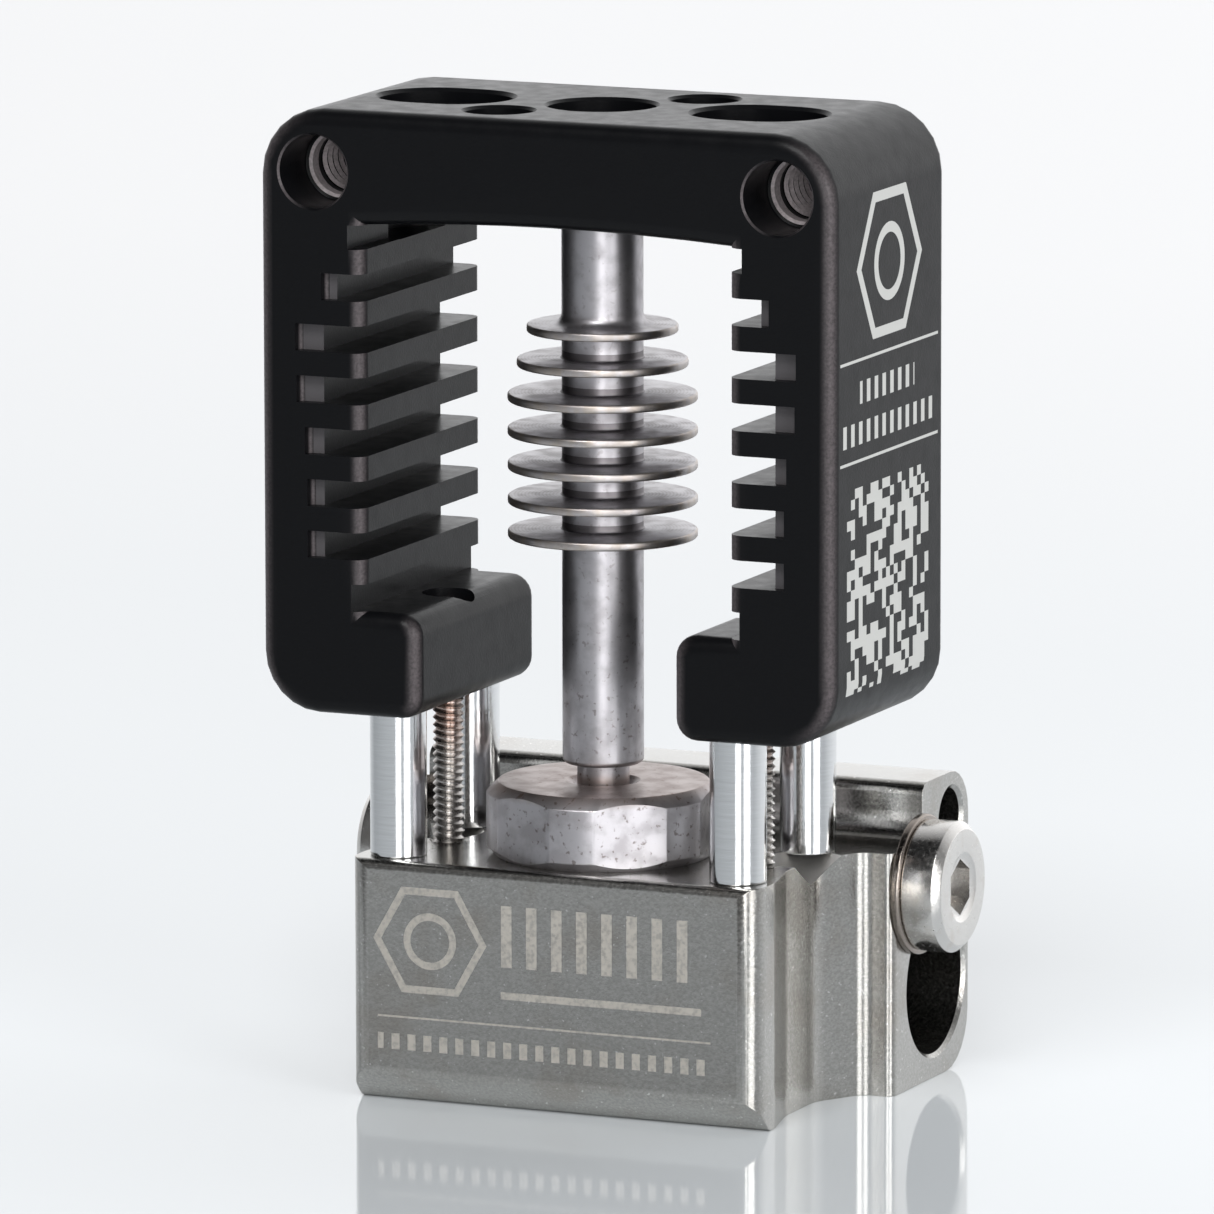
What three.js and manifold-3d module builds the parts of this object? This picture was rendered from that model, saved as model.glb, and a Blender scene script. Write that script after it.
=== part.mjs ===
// Hotend for a filament printer: a slotted heat-sink frame carries a finned heat break and,
// on four thin tubes and two long screws, a plated hot block. Millimetres, +Z up. X runs across
// the frame and Y from front to back. Pieces are laid out about the heat break's axis, X = Y = 0,
// with the block's underside at Z = 0; the finished group is then centred over its footprint.
import * as THREE from 'three';
import { mergeVertices } from 'three/addons/utils/BufferGeometryUtils.js';
import Module from 'manifold-3d';

const wasm = await Module();
wasm.setup();

// ---- Driving dimensions ------------------------------------------------------------------
// Heat-sink frame
const FRAME_HALF_WIDTH = 12.4;
const FRAME_DEPTH = 11.6;
const FRAME_BOTTOM = 15.8;
const FRAME_TOP = 40.15;
const TOP_CORNER_RADIUS = 2.7;
const BOTTOM_CORNER_RADIUS = 2.4;
const EDGE_ROUND = 0.6;
const BAR_UNDERSIDE = 35.58;
const BAR_ARCH = 0.28;
const WINDOW_HALF_WIDTH = 7.87;
const FOOT_INNER = 5.5;
const FOOT_TOP = 20.05;
const FOOT_CORNER = 0.9;
// Slots between the frame's inner teeth
const TOOTH_PITCH = 2.078;
const TOOTH_THICKNESS = 0.99;
const FIRST_TOOTH_TOP = 34.6;
const TOOTH_COUNT = 7;
const SLOT_ENDS = [8.5, 9.15, 9.75, 9.75, 9.75, 9.75, 9.75, 8.4];
const FLARE_ENDS = [0, 9.65, 10.8, 10.75, 10.4, 10.3, 10.3, 0];
const FLARE_DEPTH = 0.45;
// Holes in the frame
const FAN_HOLE_X = 10;
const FAN_HOLE_Z = 37.65;
const FAN_HOLE_RADIUS = 1.48;
const FAN_HOLE_DEPTH = 2.7;
const FAN_THREAD_RADIUS = 1.15;
const FAN_THREAD_DEPTH = 7.5;
const INLET_RADIUS = 2.19;
const INLET_DEPTH = 2.0;
const ACCESS_X = 6.8;
const ACCESS_LENGTH = 5.5;
const ACCESS_WIDTH = 4.5;
const MOUNT_HOLE_OFFSET = 3.1;
const MOUNT_HOLE_RADIUS = 1.4;
const SET_HOLE_RADIUS = 1.25;
// Heat break
const SLEEVE_RADIUS = 1.634;
const SLEEVE_BOTTOM = 13.62;
const SLEEVE_TOP = FRAME_TOP - INLET_DEPTH;
const SLEEVE_BORE = 0.95;
const SLEEVE_FIT = 0.06;
const FIN_TOP = 31.38;
const FIN_PITCH = 1.379;
const FIN_THICKNESS = 0.34;
const FIN_RADII = [3.03, 3.43, 3.8, 3.8, 3.8, 3.8, 3.8];
const NECK_RADIUS = 1.05;
const NECK_BORE = 0.85;
const NECK_GRIP = 1.9;
const BASE_TOP = 12.9;
const BASE_RADIUS = 4.7;
const BASE_ACROSS_FLATS = 8.94;
const BASE_TURN_DEG = 7.75;
const BASE_CHAMFER = 0.45;
const BASE_UNDERCUT = 0.36;
const BASE_SINK_RADIUS = 1.5;
const STUB_RADIUS = 2.4;
const STUB_LENGTH = 4.6;
// Standoff tubes and the long screws between them
const TUBE_X = 7.395;
const TUBE_Y = 3.56;
const TUBE_RADIUS = 1.14;
const TUBE_BORE = 0.9;
const TUBE_SEAT = 1.03;
const TUBE_SOCKET = 1.2;
const LONG_SCREW_RADIUS = 0.65;
const LONG_SCREW_THREAD = 5.5;
const LONG_HEAD_RADIUS = 1.0;
const LONG_HEAD_HEIGHT = 1.1;
const LONG_HEAD_RECESS = 1.6;
const LONG_SOCKET_AF = 1.0;
// Hot block
const BLOCK_TOP = 9.94;
const BLOCK_FRONT = -5.2;
const BLOCK_BACK = 12.0;
const BLOCK_HALF_WIDTH = 8.9;
const WAIST_HALF_WIDTH = 8.35;
const WING_HALF_WIDTH = 10.9;
const WING_FRONT = 4.05;
const FRONT_BEVEL = 1.3;
const RIDGE_TOP = 12.3;
const RIDGE_FRONT = 7.1;
const RIDGE_FOOT = 5.5;
const HEATER = { y: 8.6, z: 3.95, radius: 3.0 };
const SENSOR = { y: 10.15, z: 10.4, radius: 1.2 };
const NOZZLE_RADIUS = 2.55;
const NOZZLE_DEPTH = 5.1;
const RELIEF = { x: 7.95, y: 1.7, radius: 1.8, depth: 1.25 };
// Screw and washer at each end of the block
const CLAMP = { y: 6.6, z: 8.3 };
const CLAMP_HEAD_RADIUS = 2.66;
const CLAMP_HEAD_HEIGHT = 1.65;
const CLAMP_SHANK_RADIUS = 1.45;
const CLAMP_THREAD = 5.6;
const CLAMP_SOCKET_AF = 2.0;
const CLAMP_SOCKET_DEPTH = 1.0;
const WASHER_RADIUS = 2.85;
const WASHER_BORE = 1.53;
const WASHER_THICKNESS = 0.32;
// Set screw behind the sleeve
const SET_SCREW_RADIUS = 1.2;
const SET_SCREW_LENGTH = 3.2;
const SET_SOCKET_AF = 1.27;
const SET_SCREW_Z = FAN_HOLE_Z - 0.6;
// Working values
const ROUND = 40;
const SMALL_ROUND = 24;
const CLEAR = 0.05;
const OVERCUT = 1;
const THREAD_CLEARANCE = 0.07;

// ---- Materials ---------------------------------------------------------------------------
const material = (color, roughness, metalness) =>
  new THREE.MeshStandardMaterial({ color, roughness, metalness });
const BLACK_ANODISED = material(0x16171a, 0.45, 0.6);
const GREY_STEEL = material(0x77727a, 0.5, 0.9);
const POLISHED_STEEL = material(0xc9ced1, 0.15, 1.0);
const NICKEL_PLATE = material(0x9b9a94, 0.22, 1.0);
const DARK_STEEL = material(0x55504e, 0.35, 1.0);

// ---- Solids ------------------------------------------------------------------------------
function solid(geometry) {
  const plain = geometry.clone();
  plain.deleteAttribute('normal');
  plain.deleteAttribute('uv');
  const merged = mergeVertices(plain, 1e-5);
  return new wasm.Manifold(new wasm.Mesh({
    numProp: 3,
    vertProperties: new Float32Array(merged.attributes.position.array),
    triVerts: new Uint32Array(merged.index.array),
  }));
}

function toGeometry(body) {
  const mesh = body.getMesh();
  const geometry = new THREE.BufferGeometry();
  geometry.setAttribute('position', new THREE.BufferAttribute(mesh.vertProperties, 3));
  geometry.setIndex(new THREE.BufferAttribute(mesh.triVerts, 1));
  geometry.computeVertexNormals();
  return geometry;
}

const cutAll = (body, tools) => tools.reduce((rest, tool) => rest.subtract(tool), body);

// A turned piece about Z from [radius, z] points.
function turned(points, segments = ROUND) {
  const profile = points.map(([r, z]) => new THREE.Vector2(r, z));
  return new THREE.LatheGeometry(profile, segments).rotateX(Math.PI / 2);
}

// A cylinder along Z from z0 to z1.
function rod(radius, z0, z1, x = 0, y = 0, segments = ROUND) {
  const geometry = new THREE.CylinderGeometry(radius, radius, z1 - z0, segments);
  return geometry.rotateX(Math.PI / 2).translate(x, y, (z0 + z1) / 2);
}

// A cylinder along X or Y through the point that its two other coordinates give.
function rodX(radius, x0, x1, y, z, segments = ROUND) {
  const geometry = new THREE.CylinderGeometry(radius, radius, x1 - x0, segments);
  return geometry.rotateZ(Math.PI / 2).translate((x0 + x1) / 2, y, z);
}

function rodY(radius, y0, y1, x, z, segments = ROUND) {
  return new THREE.CylinderGeometry(radius, radius, y1 - y0, segments).translate(x, (y0 + y1) / 2, z);
}

function box(x0, x1, y0, y1, z0, z1) {
  return new THREE.BoxGeometry(x1 - x0, y1 - y0, z1 - z0)
    .translate((x0 + x1) / 2, (y0 + y1) / 2, (z0 + z1) / 2);
}

// A hexagonal prism along Z.
function hexRod(acrossFlats, z0, z1) {
  return rod(acrossFlats / Math.sqrt(3), z0, z1, 0, 0, 6);
}

// ---- Heat-sink frame ---------------------------------------------------------------------
// The front outline without its slots: a bridge with two legs whose feet turn inwards.
function frameOutline() {
  const w = FRAME_HALF_WIDTH;
  const inner = WINDOW_HALF_WIDTH;
  const shape = new THREE.Shape();
  shape.moveTo(w, FRAME_BOTTOM + BOTTOM_CORNER_RADIUS);
  shape.lineTo(w, FRAME_TOP - TOP_CORNER_RADIUS);
  shape.absarc(w - TOP_CORNER_RADIUS, FRAME_TOP - TOP_CORNER_RADIUS, TOP_CORNER_RADIUS, 0, Math.PI / 2);
  shape.lineTo(-w + TOP_CORNER_RADIUS, FRAME_TOP);
  shape.absarc(-w + TOP_CORNER_RADIUS, FRAME_TOP - TOP_CORNER_RADIUS, TOP_CORNER_RADIUS,
    Math.PI / 2, Math.PI);
  shape.lineTo(-w, FRAME_BOTTOM + BOTTOM_CORNER_RADIUS);
  shape.absarc(-w + BOTTOM_CORNER_RADIUS, FRAME_BOTTOM + BOTTOM_CORNER_RADIUS,
    BOTTOM_CORNER_RADIUS, Math.PI, 1.5 * Math.PI);
  shape.lineTo(-FOOT_INNER - FOOT_CORNER, FRAME_BOTTOM);
  shape.absarc(-FOOT_INNER - FOOT_CORNER, FRAME_BOTTOM + FOOT_CORNER, FOOT_CORNER, 1.5 * Math.PI, 0);
  shape.lineTo(-FOOT_INNER, FOOT_TOP - FOOT_CORNER);
  shape.absarc(-FOOT_INNER - FOOT_CORNER, FOOT_TOP - FOOT_CORNER, FOOT_CORNER, 0, Math.PI / 2);
  shape.lineTo(-inner, FOOT_TOP);
  shape.lineTo(-inner, BAR_UNDERSIDE);
  shape.quadraticCurveTo(0, BAR_UNDERSIDE + 2 * BAR_ARCH, inner, BAR_UNDERSIDE);
  shape.lineTo(inner, FOOT_TOP);
  shape.lineTo(FOOT_INNER + FOOT_CORNER, FOOT_TOP);
  shape.absarc(FOOT_INNER + FOOT_CORNER, FOOT_TOP - FOOT_CORNER, FOOT_CORNER, Math.PI / 2, Math.PI);
  shape.lineTo(FOOT_INNER, FRAME_BOTTOM + FOOT_CORNER);
  shape.absarc(FOOT_INNER + FOOT_CORNER, FRAME_BOTTOM + FOOT_CORNER, FOOT_CORNER,
    Math.PI, 1.5 * Math.PI);
  shape.lineTo(w - BOTTOM_CORNER_RADIUS, FRAME_BOTTOM);
  shape.absarc(w - BOTTOM_CORNER_RADIUS, FRAME_BOTTOM + BOTTOM_CORNER_RADIUS,
    BOTTOM_CORNER_RADIUS, 1.5 * Math.PI, 2 * Math.PI);
  return shape;
}

// Slot k lies above tooth k; the last one lies between the lowest tooth and the foot.
function slotCuts() {
  const half = FRAME_DEPTH / 2;
  const cuts = [];
  SLOT_ENDS.forEach((end, k) => {
    const toothTop = FIRST_TOOTH_TOP - TOOTH_PITCH * k;
    const floor = k < TOOTH_COUNT ? toothTop : FOOT_TOP;
    const roof = k === 0 ? BAR_UNDERSIDE : toothTop + TOOTH_PITCH - TOOTH_THICKNESS;
    for (const side of [-1, 1]) {
      const near = WINDOW_HALF_WIDTH - OVERCUT;
      const [x0, x1] = side < 0 ? [-end, -near] : [near, end];
      cuts.push(box(x0, x1, -half - OVERCUT, half + OVERCUT, floor, roof));
      if (FLARE_ENDS[k] > end) {
        const [f0, f1] = side < 0 ? [-FLARE_ENDS[k], -near] : [near, FLARE_ENDS[k]];
        cuts.push(box(f0, f1, -half - OVERCUT, -half + FLARE_DEPTH, floor, roof));
      }
    }
  });
  return cuts;
}

// An oblong hole through the bar, its long way along X.
function accessHole(side) {
  const r = ACCESS_WIDTH / 2;
  const straight = ACCESS_LENGTH / 2 - r;
  const shape = new THREE.Shape();
  shape.absarc(straight, 0, r, -Math.PI / 2, Math.PI / 2);
  shape.absarc(-straight, 0, r, Math.PI / 2, 1.5 * Math.PI);
  const height = FRAME_TOP - BAR_UNDERSIDE + 2 * OVERCUT;
  const geometry = new THREE.ExtrudeGeometry(shape, { depth: height, bevelEnabled: false, curveSegments: 12 });
  return geometry.translate(side * ACCESS_X, 0, BAR_UNDERSIDE - OVERCUT);
}

function frameHoles() {
  const front = -FRAME_DEPTH / 2;
  const holes = [
    rod(SLEEVE_RADIUS + SLEEVE_FIT, BAR_UNDERSIDE - OVERCUT, FRAME_TOP),
    rod(INLET_RADIUS, SLEEVE_TOP, FRAME_TOP + OVERCUT),
    rodY(SET_HOLE_RADIUS, SLEEVE_RADIUS, -front + OVERCUT, 0, SET_SCREW_Z, SMALL_ROUND),
  ];
  for (const side of [-1, 1]) {
    holes.push(rodY(FAN_HOLE_RADIUS, front - OVERCUT, front + FAN_HOLE_DEPTH, side * FAN_HOLE_X, FAN_HOLE_Z));
    holes.push(rodY(FAN_THREAD_RADIUS, front, front + FAN_THREAD_DEPTH,
      side * FAN_HOLE_X, FAN_HOLE_Z, SMALL_ROUND));
    holes.push(accessHole(side));
    holes.push(rod(MOUNT_HOLE_RADIUS, BAR_UNDERSIDE - OVERCUT, FRAME_TOP + OVERCUT,
      side * MOUNT_HOLE_OFFSET, side * MOUNT_HOLE_OFFSET, SMALL_ROUND));
    holes.push(rod(LONG_SCREW_RADIUS + THREAD_CLEARANCE, FRAME_BOTTOM - OVERCUT, FOOT_TOP,
      side * ACCESS_X, 0, SMALL_ROUND));
    holes.push(rod(LONG_HEAD_RADIUS + THREAD_CLEARANCE, FOOT_TOP - LONG_HEAD_RECESS,
      FOOT_TOP + OVERCUT, side * ACCESS_X, 0, SMALL_ROUND));
    for (const row of [-1, 1]) {
      holes.push(rod(TUBE_RADIUS + CLEAR, FRAME_BOTTOM - OVERCUT, FRAME_BOTTOM + TUBE_SOCKET,
        side * TUBE_X, row * TUBE_Y, SMALL_ROUND));
    }
  }
  return holes;
}

function heatSinkFrame() {
  const blank = new THREE.ExtrudeGeometry(frameOutline(), {
    depth: FRAME_DEPTH - 2 * EDGE_ROUND,
    curveSegments: 6,
    bevelSegments: 2,
    bevelThickness: EDGE_ROUND,
    bevelSize: EDGE_ROUND,
    bevelOffset: -EDGE_ROUND,
  });
  blank.translate(0, 0, EDGE_ROUND - FRAME_DEPTH / 2).rotateX(Math.PI / 2);
  return cutAll(solid(blank), [...slotCuts(), ...frameHoles()].map(solid));
}

// ---- Heat break --------------------------------------------------------------------------
function coldSleeve() {
  const r = SLEEVE_RADIUS;
  const edge = 0.15;
  const points = [[SLEEVE_BORE, SLEEVE_BOTTOM + NECK_GRIP], [NECK_RADIUS + CLEAR, SLEEVE_BOTTOM + NECK_GRIP],
    [NECK_RADIUS + CLEAR, SLEEVE_BOTTOM], [r - edge, SLEEVE_BOTTOM], [r, SLEEVE_BOTTOM + edge]];
  for (let k = FIN_RADII.length - 1; k >= 0; k -= 1) {
    const top = FIN_TOP - FIN_PITCH * k;
    const bottom = top - FIN_THICKNESS;
    points.push([r, bottom], [FIN_RADII[k], bottom], [FIN_RADII[k], top]);
    if (k > 0) points.push([r, top]);
  }
  const blend = 0.45;
  points.push([r + blend, FIN_TOP], [r + 0.13, FIN_TOP + 0.13], [r, FIN_TOP + blend]);
  points.push([r, SLEEVE_TOP], [SLEEVE_BORE, SLEEVE_TOP], [SLEEVE_BORE, SLEEVE_BOTTOM + NECK_GRIP]);
  return solid(turned(points));
}

const NECK_BOTTOM = BASE_TOP - NECK_GRIP;

function heatBreakTube() {
  const top = SLEEVE_BOTTOM + NECK_GRIP;
  const points = [[NECK_BORE, NECK_BOTTOM], [NECK_RADIUS, NECK_BOTTOM], [NECK_RADIUS, top],
    [NECK_BORE, top], [NECK_BORE, NECK_BOTTOM]];
  return solid(turned(points, SMALL_ROUND));
}

// A round boss with six flats, a round stub below it and the neck's socket in its top.
function heatBreakBase() {
  const r = BASE_RADIUS;
  const stubBottom = BLOCK_TOP - STUB_LENGTH;
  const socket = NECK_RADIUS + CLEAR;
  const sink = BASE_SINK_RADIUS - socket;
  const boss = solid(turned([
    [NECK_BORE, stubBottom], [STUB_RADIUS, stubBottom], [STUB_RADIUS, BLOCK_TOP],
    [r - BASE_UNDERCUT, BLOCK_TOP], [r, BLOCK_TOP + BASE_UNDERCUT], [r, BASE_TOP - BASE_CHAMFER],
    [r - BASE_CHAMFER, BASE_TOP], [BASE_SINK_RADIUS, BASE_TOP], [socket, BASE_TOP - sink],
    [socket, NECK_BOTTOM], [NECK_BORE, NECK_BOTTOM], [NECK_BORE, stubBottom],
  ]));
  const hex = solid(hexRod(BASE_ACROSS_FLATS, stubBottom - OVERCUT, BASE_TOP + OVERCUT)
    .rotateZ(THREE.MathUtils.degToRad(BASE_TURN_DEG + 30)));
  return boss.intersect(hex);
}

// ---- Standoff tubes and long screws --------------------------------------------------------
function standoffTube(x, y) {
  const top = FRAME_BOTTOM + TUBE_SOCKET;
  const points = [[TUBE_BORE, BLOCK_TOP], [TUBE_RADIUS, BLOCK_TOP], [TUBE_RADIUS, top],
    [TUBE_BORE, top], [TUBE_BORE, BLOCK_TOP]];
  return solid(turned(points, SMALL_ROUND).translate(x, y, 0));
}

function longScrew(side) {
  const headBottom = FOOT_TOP - LONG_HEAD_RECESS;
  const headTop = headBottom + LONG_HEAD_HEIGHT;
  const tip = BLOCK_TOP - LONG_SCREW_THREAD;
  const body = solid(turned([[0, tip], [LONG_SCREW_RADIUS - 0.15, tip], [LONG_SCREW_RADIUS, tip + 0.15],
    [LONG_SCREW_RADIUS, headBottom], [LONG_HEAD_RADIUS, headBottom], [LONG_HEAD_RADIUS, headTop],
    [0, headTop]], SMALL_ROUND));
  const socket = solid(hexRod(LONG_SOCKET_AF, headTop - LONG_HEAD_HEIGHT / 2, headTop + OVERCUT));
  return body.subtract(socket).translate([side * ACCESS_X, 0, 0]);
}

// ---- Hot block -----------------------------------------------------------------------------
// Plan view: a narrow front, a slight waist and two wings at the back.
function blockPlan() {
  const corner = 0.9;
  const waistY = 0.4;
  const half = [
    [BLOCK_HALF_WIDTH, -3.6], [WAIST_HALF_WIDTH + 0.2, -1.6], [WAIST_HALF_WIDTH, waistY],
    [WAIST_HALF_WIDTH + 0.12, 1.9], [WAIST_HALF_WIDTH + 0.5, 3.1],
    [WAIST_HALF_WIDTH + 1.15, 3.85], [WING_HALF_WIDTH - 0.35, WING_FRONT],
    [WING_HALF_WIDTH, WING_FRONT + 0.35],
  ];
  const shape = new THREE.Shape();
  shape.moveTo(0, BLOCK_FRONT);
  shape.lineTo(BLOCK_HALF_WIDTH - corner, BLOCK_FRONT);
  shape.absarc(BLOCK_HALF_WIDTH - corner, BLOCK_FRONT + corner, corner, -Math.PI / 2, 0);
  half.forEach(([x, y]) => shape.lineTo(x, y));
  shape.lineTo(WING_HALF_WIDTH, BLOCK_BACK + OVERCUT);
  shape.lineTo(-WING_HALF_WIDTH, BLOCK_BACK + OVERCUT);
  [...half].reverse().forEach(([x, y]) => shape.lineTo(-x, y));
  shape.absarc(-BLOCK_HALF_WIDTH + corner, BLOCK_FRONT + corner, corner, Math.PI, 1.5 * Math.PI);
  const depth = RIDGE_TOP + 2 * OVERCUT;
  return new THREE.ExtrudeGeometry(shape, { depth, bevelEnabled: false, curveSegments: 6 })
    .translate(0, 0, -OVERCUT);
}

// End view: bevelled front, flat top, and a ridge that holds the sensor at the back.
function blockEndView() {
  const backTop = 1.9;
  const backBottom = 2.3;
  const crest = 0.5;
  const valley = 1.3;
  const shape = new THREE.Shape();
  shape.moveTo(BLOCK_FRONT, FRONT_BEVEL);
  shape.lineTo(BLOCK_FRONT + FRONT_BEVEL, 0);
  shape.lineTo(BLOCK_BACK - backBottom, 0);
  shape.absarc(BLOCK_BACK - backBottom, backBottom, backBottom, -Math.PI / 2, 0);
  shape.lineTo(BLOCK_BACK, RIDGE_TOP - backTop);
  shape.absarc(BLOCK_BACK - backTop, RIDGE_TOP - backTop, backTop, 0, Math.PI / 2);
  shape.lineTo(RIDGE_FRONT + crest, RIDGE_TOP);
  shape.absarc(RIDGE_FRONT + crest, RIDGE_TOP - crest, crest, Math.PI / 2, Math.PI);
  shape.lineTo(RIDGE_FRONT, BLOCK_TOP + valley);
  shape.quadraticCurveTo(RIDGE_FRONT - 0.1, BLOCK_TOP, RIDGE_FOOT, BLOCK_TOP);
  shape.lineTo(BLOCK_FRONT + 0.3, BLOCK_TOP);
  shape.lineTo(BLOCK_FRONT, BLOCK_TOP - 0.3);
  const depth = 2 * (WING_HALF_WIDTH + OVERCUT);
  const geometry = new THREE.ExtrudeGeometry(shape, { depth, bevelEnabled: false, curveSegments: 8 });
  // The outline's own axes become Y and Z, and the extrusion runs along X.
  const turn = new THREE.Matrix4().makeBasis(
    new THREE.Vector3(0, 1, 0), new THREE.Vector3(0, 0, 1), new THREE.Vector3(1, 0, 0));
  return geometry.applyMatrix4(turn).translate(-depth / 2, 0, 0);
}

// A drill point sunk into the block's top.
function cone(radius, depth, x, y) {
  return turned([[0, BLOCK_TOP - depth], [radius, BLOCK_TOP], [radius, BLOCK_TOP + OVERCUT],
    [0, BLOCK_TOP + OVERCUT]], SMALL_ROUND).translate(x, y, 0);
}

function blockHoles() {
  const wide = WING_HALF_WIDTH + OVERCUT;
  const holes = [
    rodX(HEATER.radius, -wide, wide, HEATER.y, HEATER.z),
    rodX(SENSOR.radius, -wide, wide, SENSOR.y, SENSOR.z, SMALL_ROUND),
    rod(NOZZLE_RADIUS, -OVERCUT, NOZZLE_DEPTH),
    rod(STUB_RADIUS + CLEAR, NOZZLE_DEPTH - OVERCUT, BLOCK_TOP + OVERCUT),
  ];
  for (const side of [-1, 1]) {
    const inner = side * (WING_HALF_WIDTH - CLAMP_THREAD - 0.4);
    const outer = side * wide;
    holes.push(rodX(CLAMP_SHANK_RADIUS + CLEAR, Math.min(inner, outer), Math.max(inner, outer),
      CLAMP.y, CLAMP.z, SMALL_ROUND));
    holes.push(rod(LONG_SCREW_RADIUS + CLEAR, BLOCK_TOP - LONG_SCREW_THREAD - 0.4, BLOCK_TOP + OVERCUT,
      side * ACCESS_X, 0, SMALL_ROUND));
    holes.push(cone(RELIEF.radius, RELIEF.depth, side * RELIEF.x, RELIEF.y));
    for (const row of [-1, 1]) {
      holes.push(cone(TUBE_SEAT, TUBE_SEAT, side * TUBE_X, row * TUBE_Y));
    }
  }
  return holes;
}

function hotBlock() {
  return cutAll(solid(blockPlan()).intersect(solid(blockEndView())), blockHoles().map(solid));
}

// ---- Fasteners -----------------------------------------------------------------------------
// Turns a piece made along +Z from z = 0 so that it points out of the block's end.
function atBlockEnd(body, side) {
  return body.rotate([0, side * 90, 0]).translate([side * WING_HALF_WIDTH, CLAMP.y, CLAMP.z]);
}

function clampScrew(side) {
  const r = CLAMP_HEAD_RADIUS;
  const seat = WASHER_THICKNESS;
  const top = seat + CLAMP_HEAD_HEIGHT;
  const chamfer = 0.28;
  const body = solid(turned([[0, -CLAMP_THREAD], [CLAMP_SHANK_RADIUS - 0.25, -CLAMP_THREAD],
    [CLAMP_SHANK_RADIUS, -CLAMP_THREAD + 0.25], [CLAMP_SHANK_RADIUS, seat], [r, seat],
    [r, top - chamfer], [r - chamfer, top], [0, top]]));
  const socket = solid(hexRod(CLAMP_SOCKET_AF, top - CLAMP_SOCKET_DEPTH, top + OVERCUT));
  return atBlockEnd(body.subtract(socket), side);
}

function clampWasher(side) {
  const points = [[WASHER_BORE, 0], [WASHER_RADIUS, 0], [WASHER_RADIUS, WASHER_THICKNESS],
    [WASHER_BORE, WASHER_THICKNESS], [WASHER_BORE, 0]];
  return atBlockEnd(solid(turned(points)), side);
}

// The set screw bears on the back of the sleeve, inside the bar.
function setScrew() {
  const tip = SLEEVE_RADIUS + 0.02;
  const end = tip + SET_SCREW_LENGTH;
  const body = solid(turned([[0, 0], [SET_SCREW_RADIUS - 0.4, 0], [SET_SCREW_RADIUS, 0.4],
    [SET_SCREW_RADIUS, end - tip], [0, end - tip]], SMALL_ROUND));
  const socket = solid(hexRod(SET_SOCKET_AF, end - tip - 1.2, end - tip + OVERCUT));
  return body.subtract(socket).rotate([-90, 0, 0]).translate([0, tip, SET_SCREW_Z]);
}

// ---- Assembly --------------------------------------------------------------------------------
const group = new THREE.Group();
group.position.y = (FRAME_DEPTH / 2 - BLOCK_BACK) / 2;

function add(name, body, surface) {
  const mesh = new THREE.Mesh(toGeometry(body), surface);
  mesh.name = name;
  group.add(mesh);
}

add('heat_sink_frame', heatSinkFrame(), BLACK_ANODISED);
add('cold_sleeve', coldSleeve(), GREY_STEEL);
add('heat_break_tube', heatBreakTube(), GREY_STEEL);
add('heat_break_base', heatBreakBase(), GREY_STEEL);
add('hot_block', hotBlock(), NICKEL_PLATE);
add('sleeve_set_screw', setScrew(), DARK_STEEL);
for (const [side, hand] of [[-1, 'left'], [1, 'right']]) {
  add(`standoff_tube_front_${hand}`, standoffTube(side * TUBE_X, -TUBE_Y), POLISHED_STEEL);
  add(`standoff_tube_back_${hand}`, standoffTube(side * TUBE_X, TUBE_Y), POLISHED_STEEL);
  add(`long_screw_${hand}`, longScrew(side), DARK_STEEL);
  add(`clamp_screw_${hand}`, clampScrew(side), POLISHED_STEEL);
  add(`clamp_washer_${hand}`, clampWasher(side), POLISHED_STEEL);
}

export default group;
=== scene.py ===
import math

import bmesh
import bpy
from bpy.props import FloatProperty, FloatVectorProperty, IntProperty, PointerProperty
from mathutils import Matrix, Vector


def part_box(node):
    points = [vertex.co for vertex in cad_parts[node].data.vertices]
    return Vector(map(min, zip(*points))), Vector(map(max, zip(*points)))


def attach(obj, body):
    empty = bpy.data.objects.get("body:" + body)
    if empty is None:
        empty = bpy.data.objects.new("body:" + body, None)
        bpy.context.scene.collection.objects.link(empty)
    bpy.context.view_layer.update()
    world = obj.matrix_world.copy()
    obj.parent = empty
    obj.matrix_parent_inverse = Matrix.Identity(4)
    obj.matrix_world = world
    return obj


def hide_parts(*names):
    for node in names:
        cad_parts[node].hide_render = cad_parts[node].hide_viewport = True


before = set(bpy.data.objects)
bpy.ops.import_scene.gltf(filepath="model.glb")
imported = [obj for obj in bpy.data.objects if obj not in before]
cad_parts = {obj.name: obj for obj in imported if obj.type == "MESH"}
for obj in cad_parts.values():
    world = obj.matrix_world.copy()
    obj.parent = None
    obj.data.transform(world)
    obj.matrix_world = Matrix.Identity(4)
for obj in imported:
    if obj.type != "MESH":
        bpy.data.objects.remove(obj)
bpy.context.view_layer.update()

bl_info = {
    "name": "Printer hotend",
    "version": (1, 0, 0),
    "blender": (4, 5, 0),
    "location": "View3D > Sidebar > Hotend",
    "description": "Finished pieces for a hotend built on its packed solids",
    "category": "Add Mesh",
}

MM = 0.001
SIDES = ((-1, "left"), (1, "right"))


def corners(node):
    """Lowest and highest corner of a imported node, in millimetres."""
    low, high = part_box(node)
    return low / MM, high / MM


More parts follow.
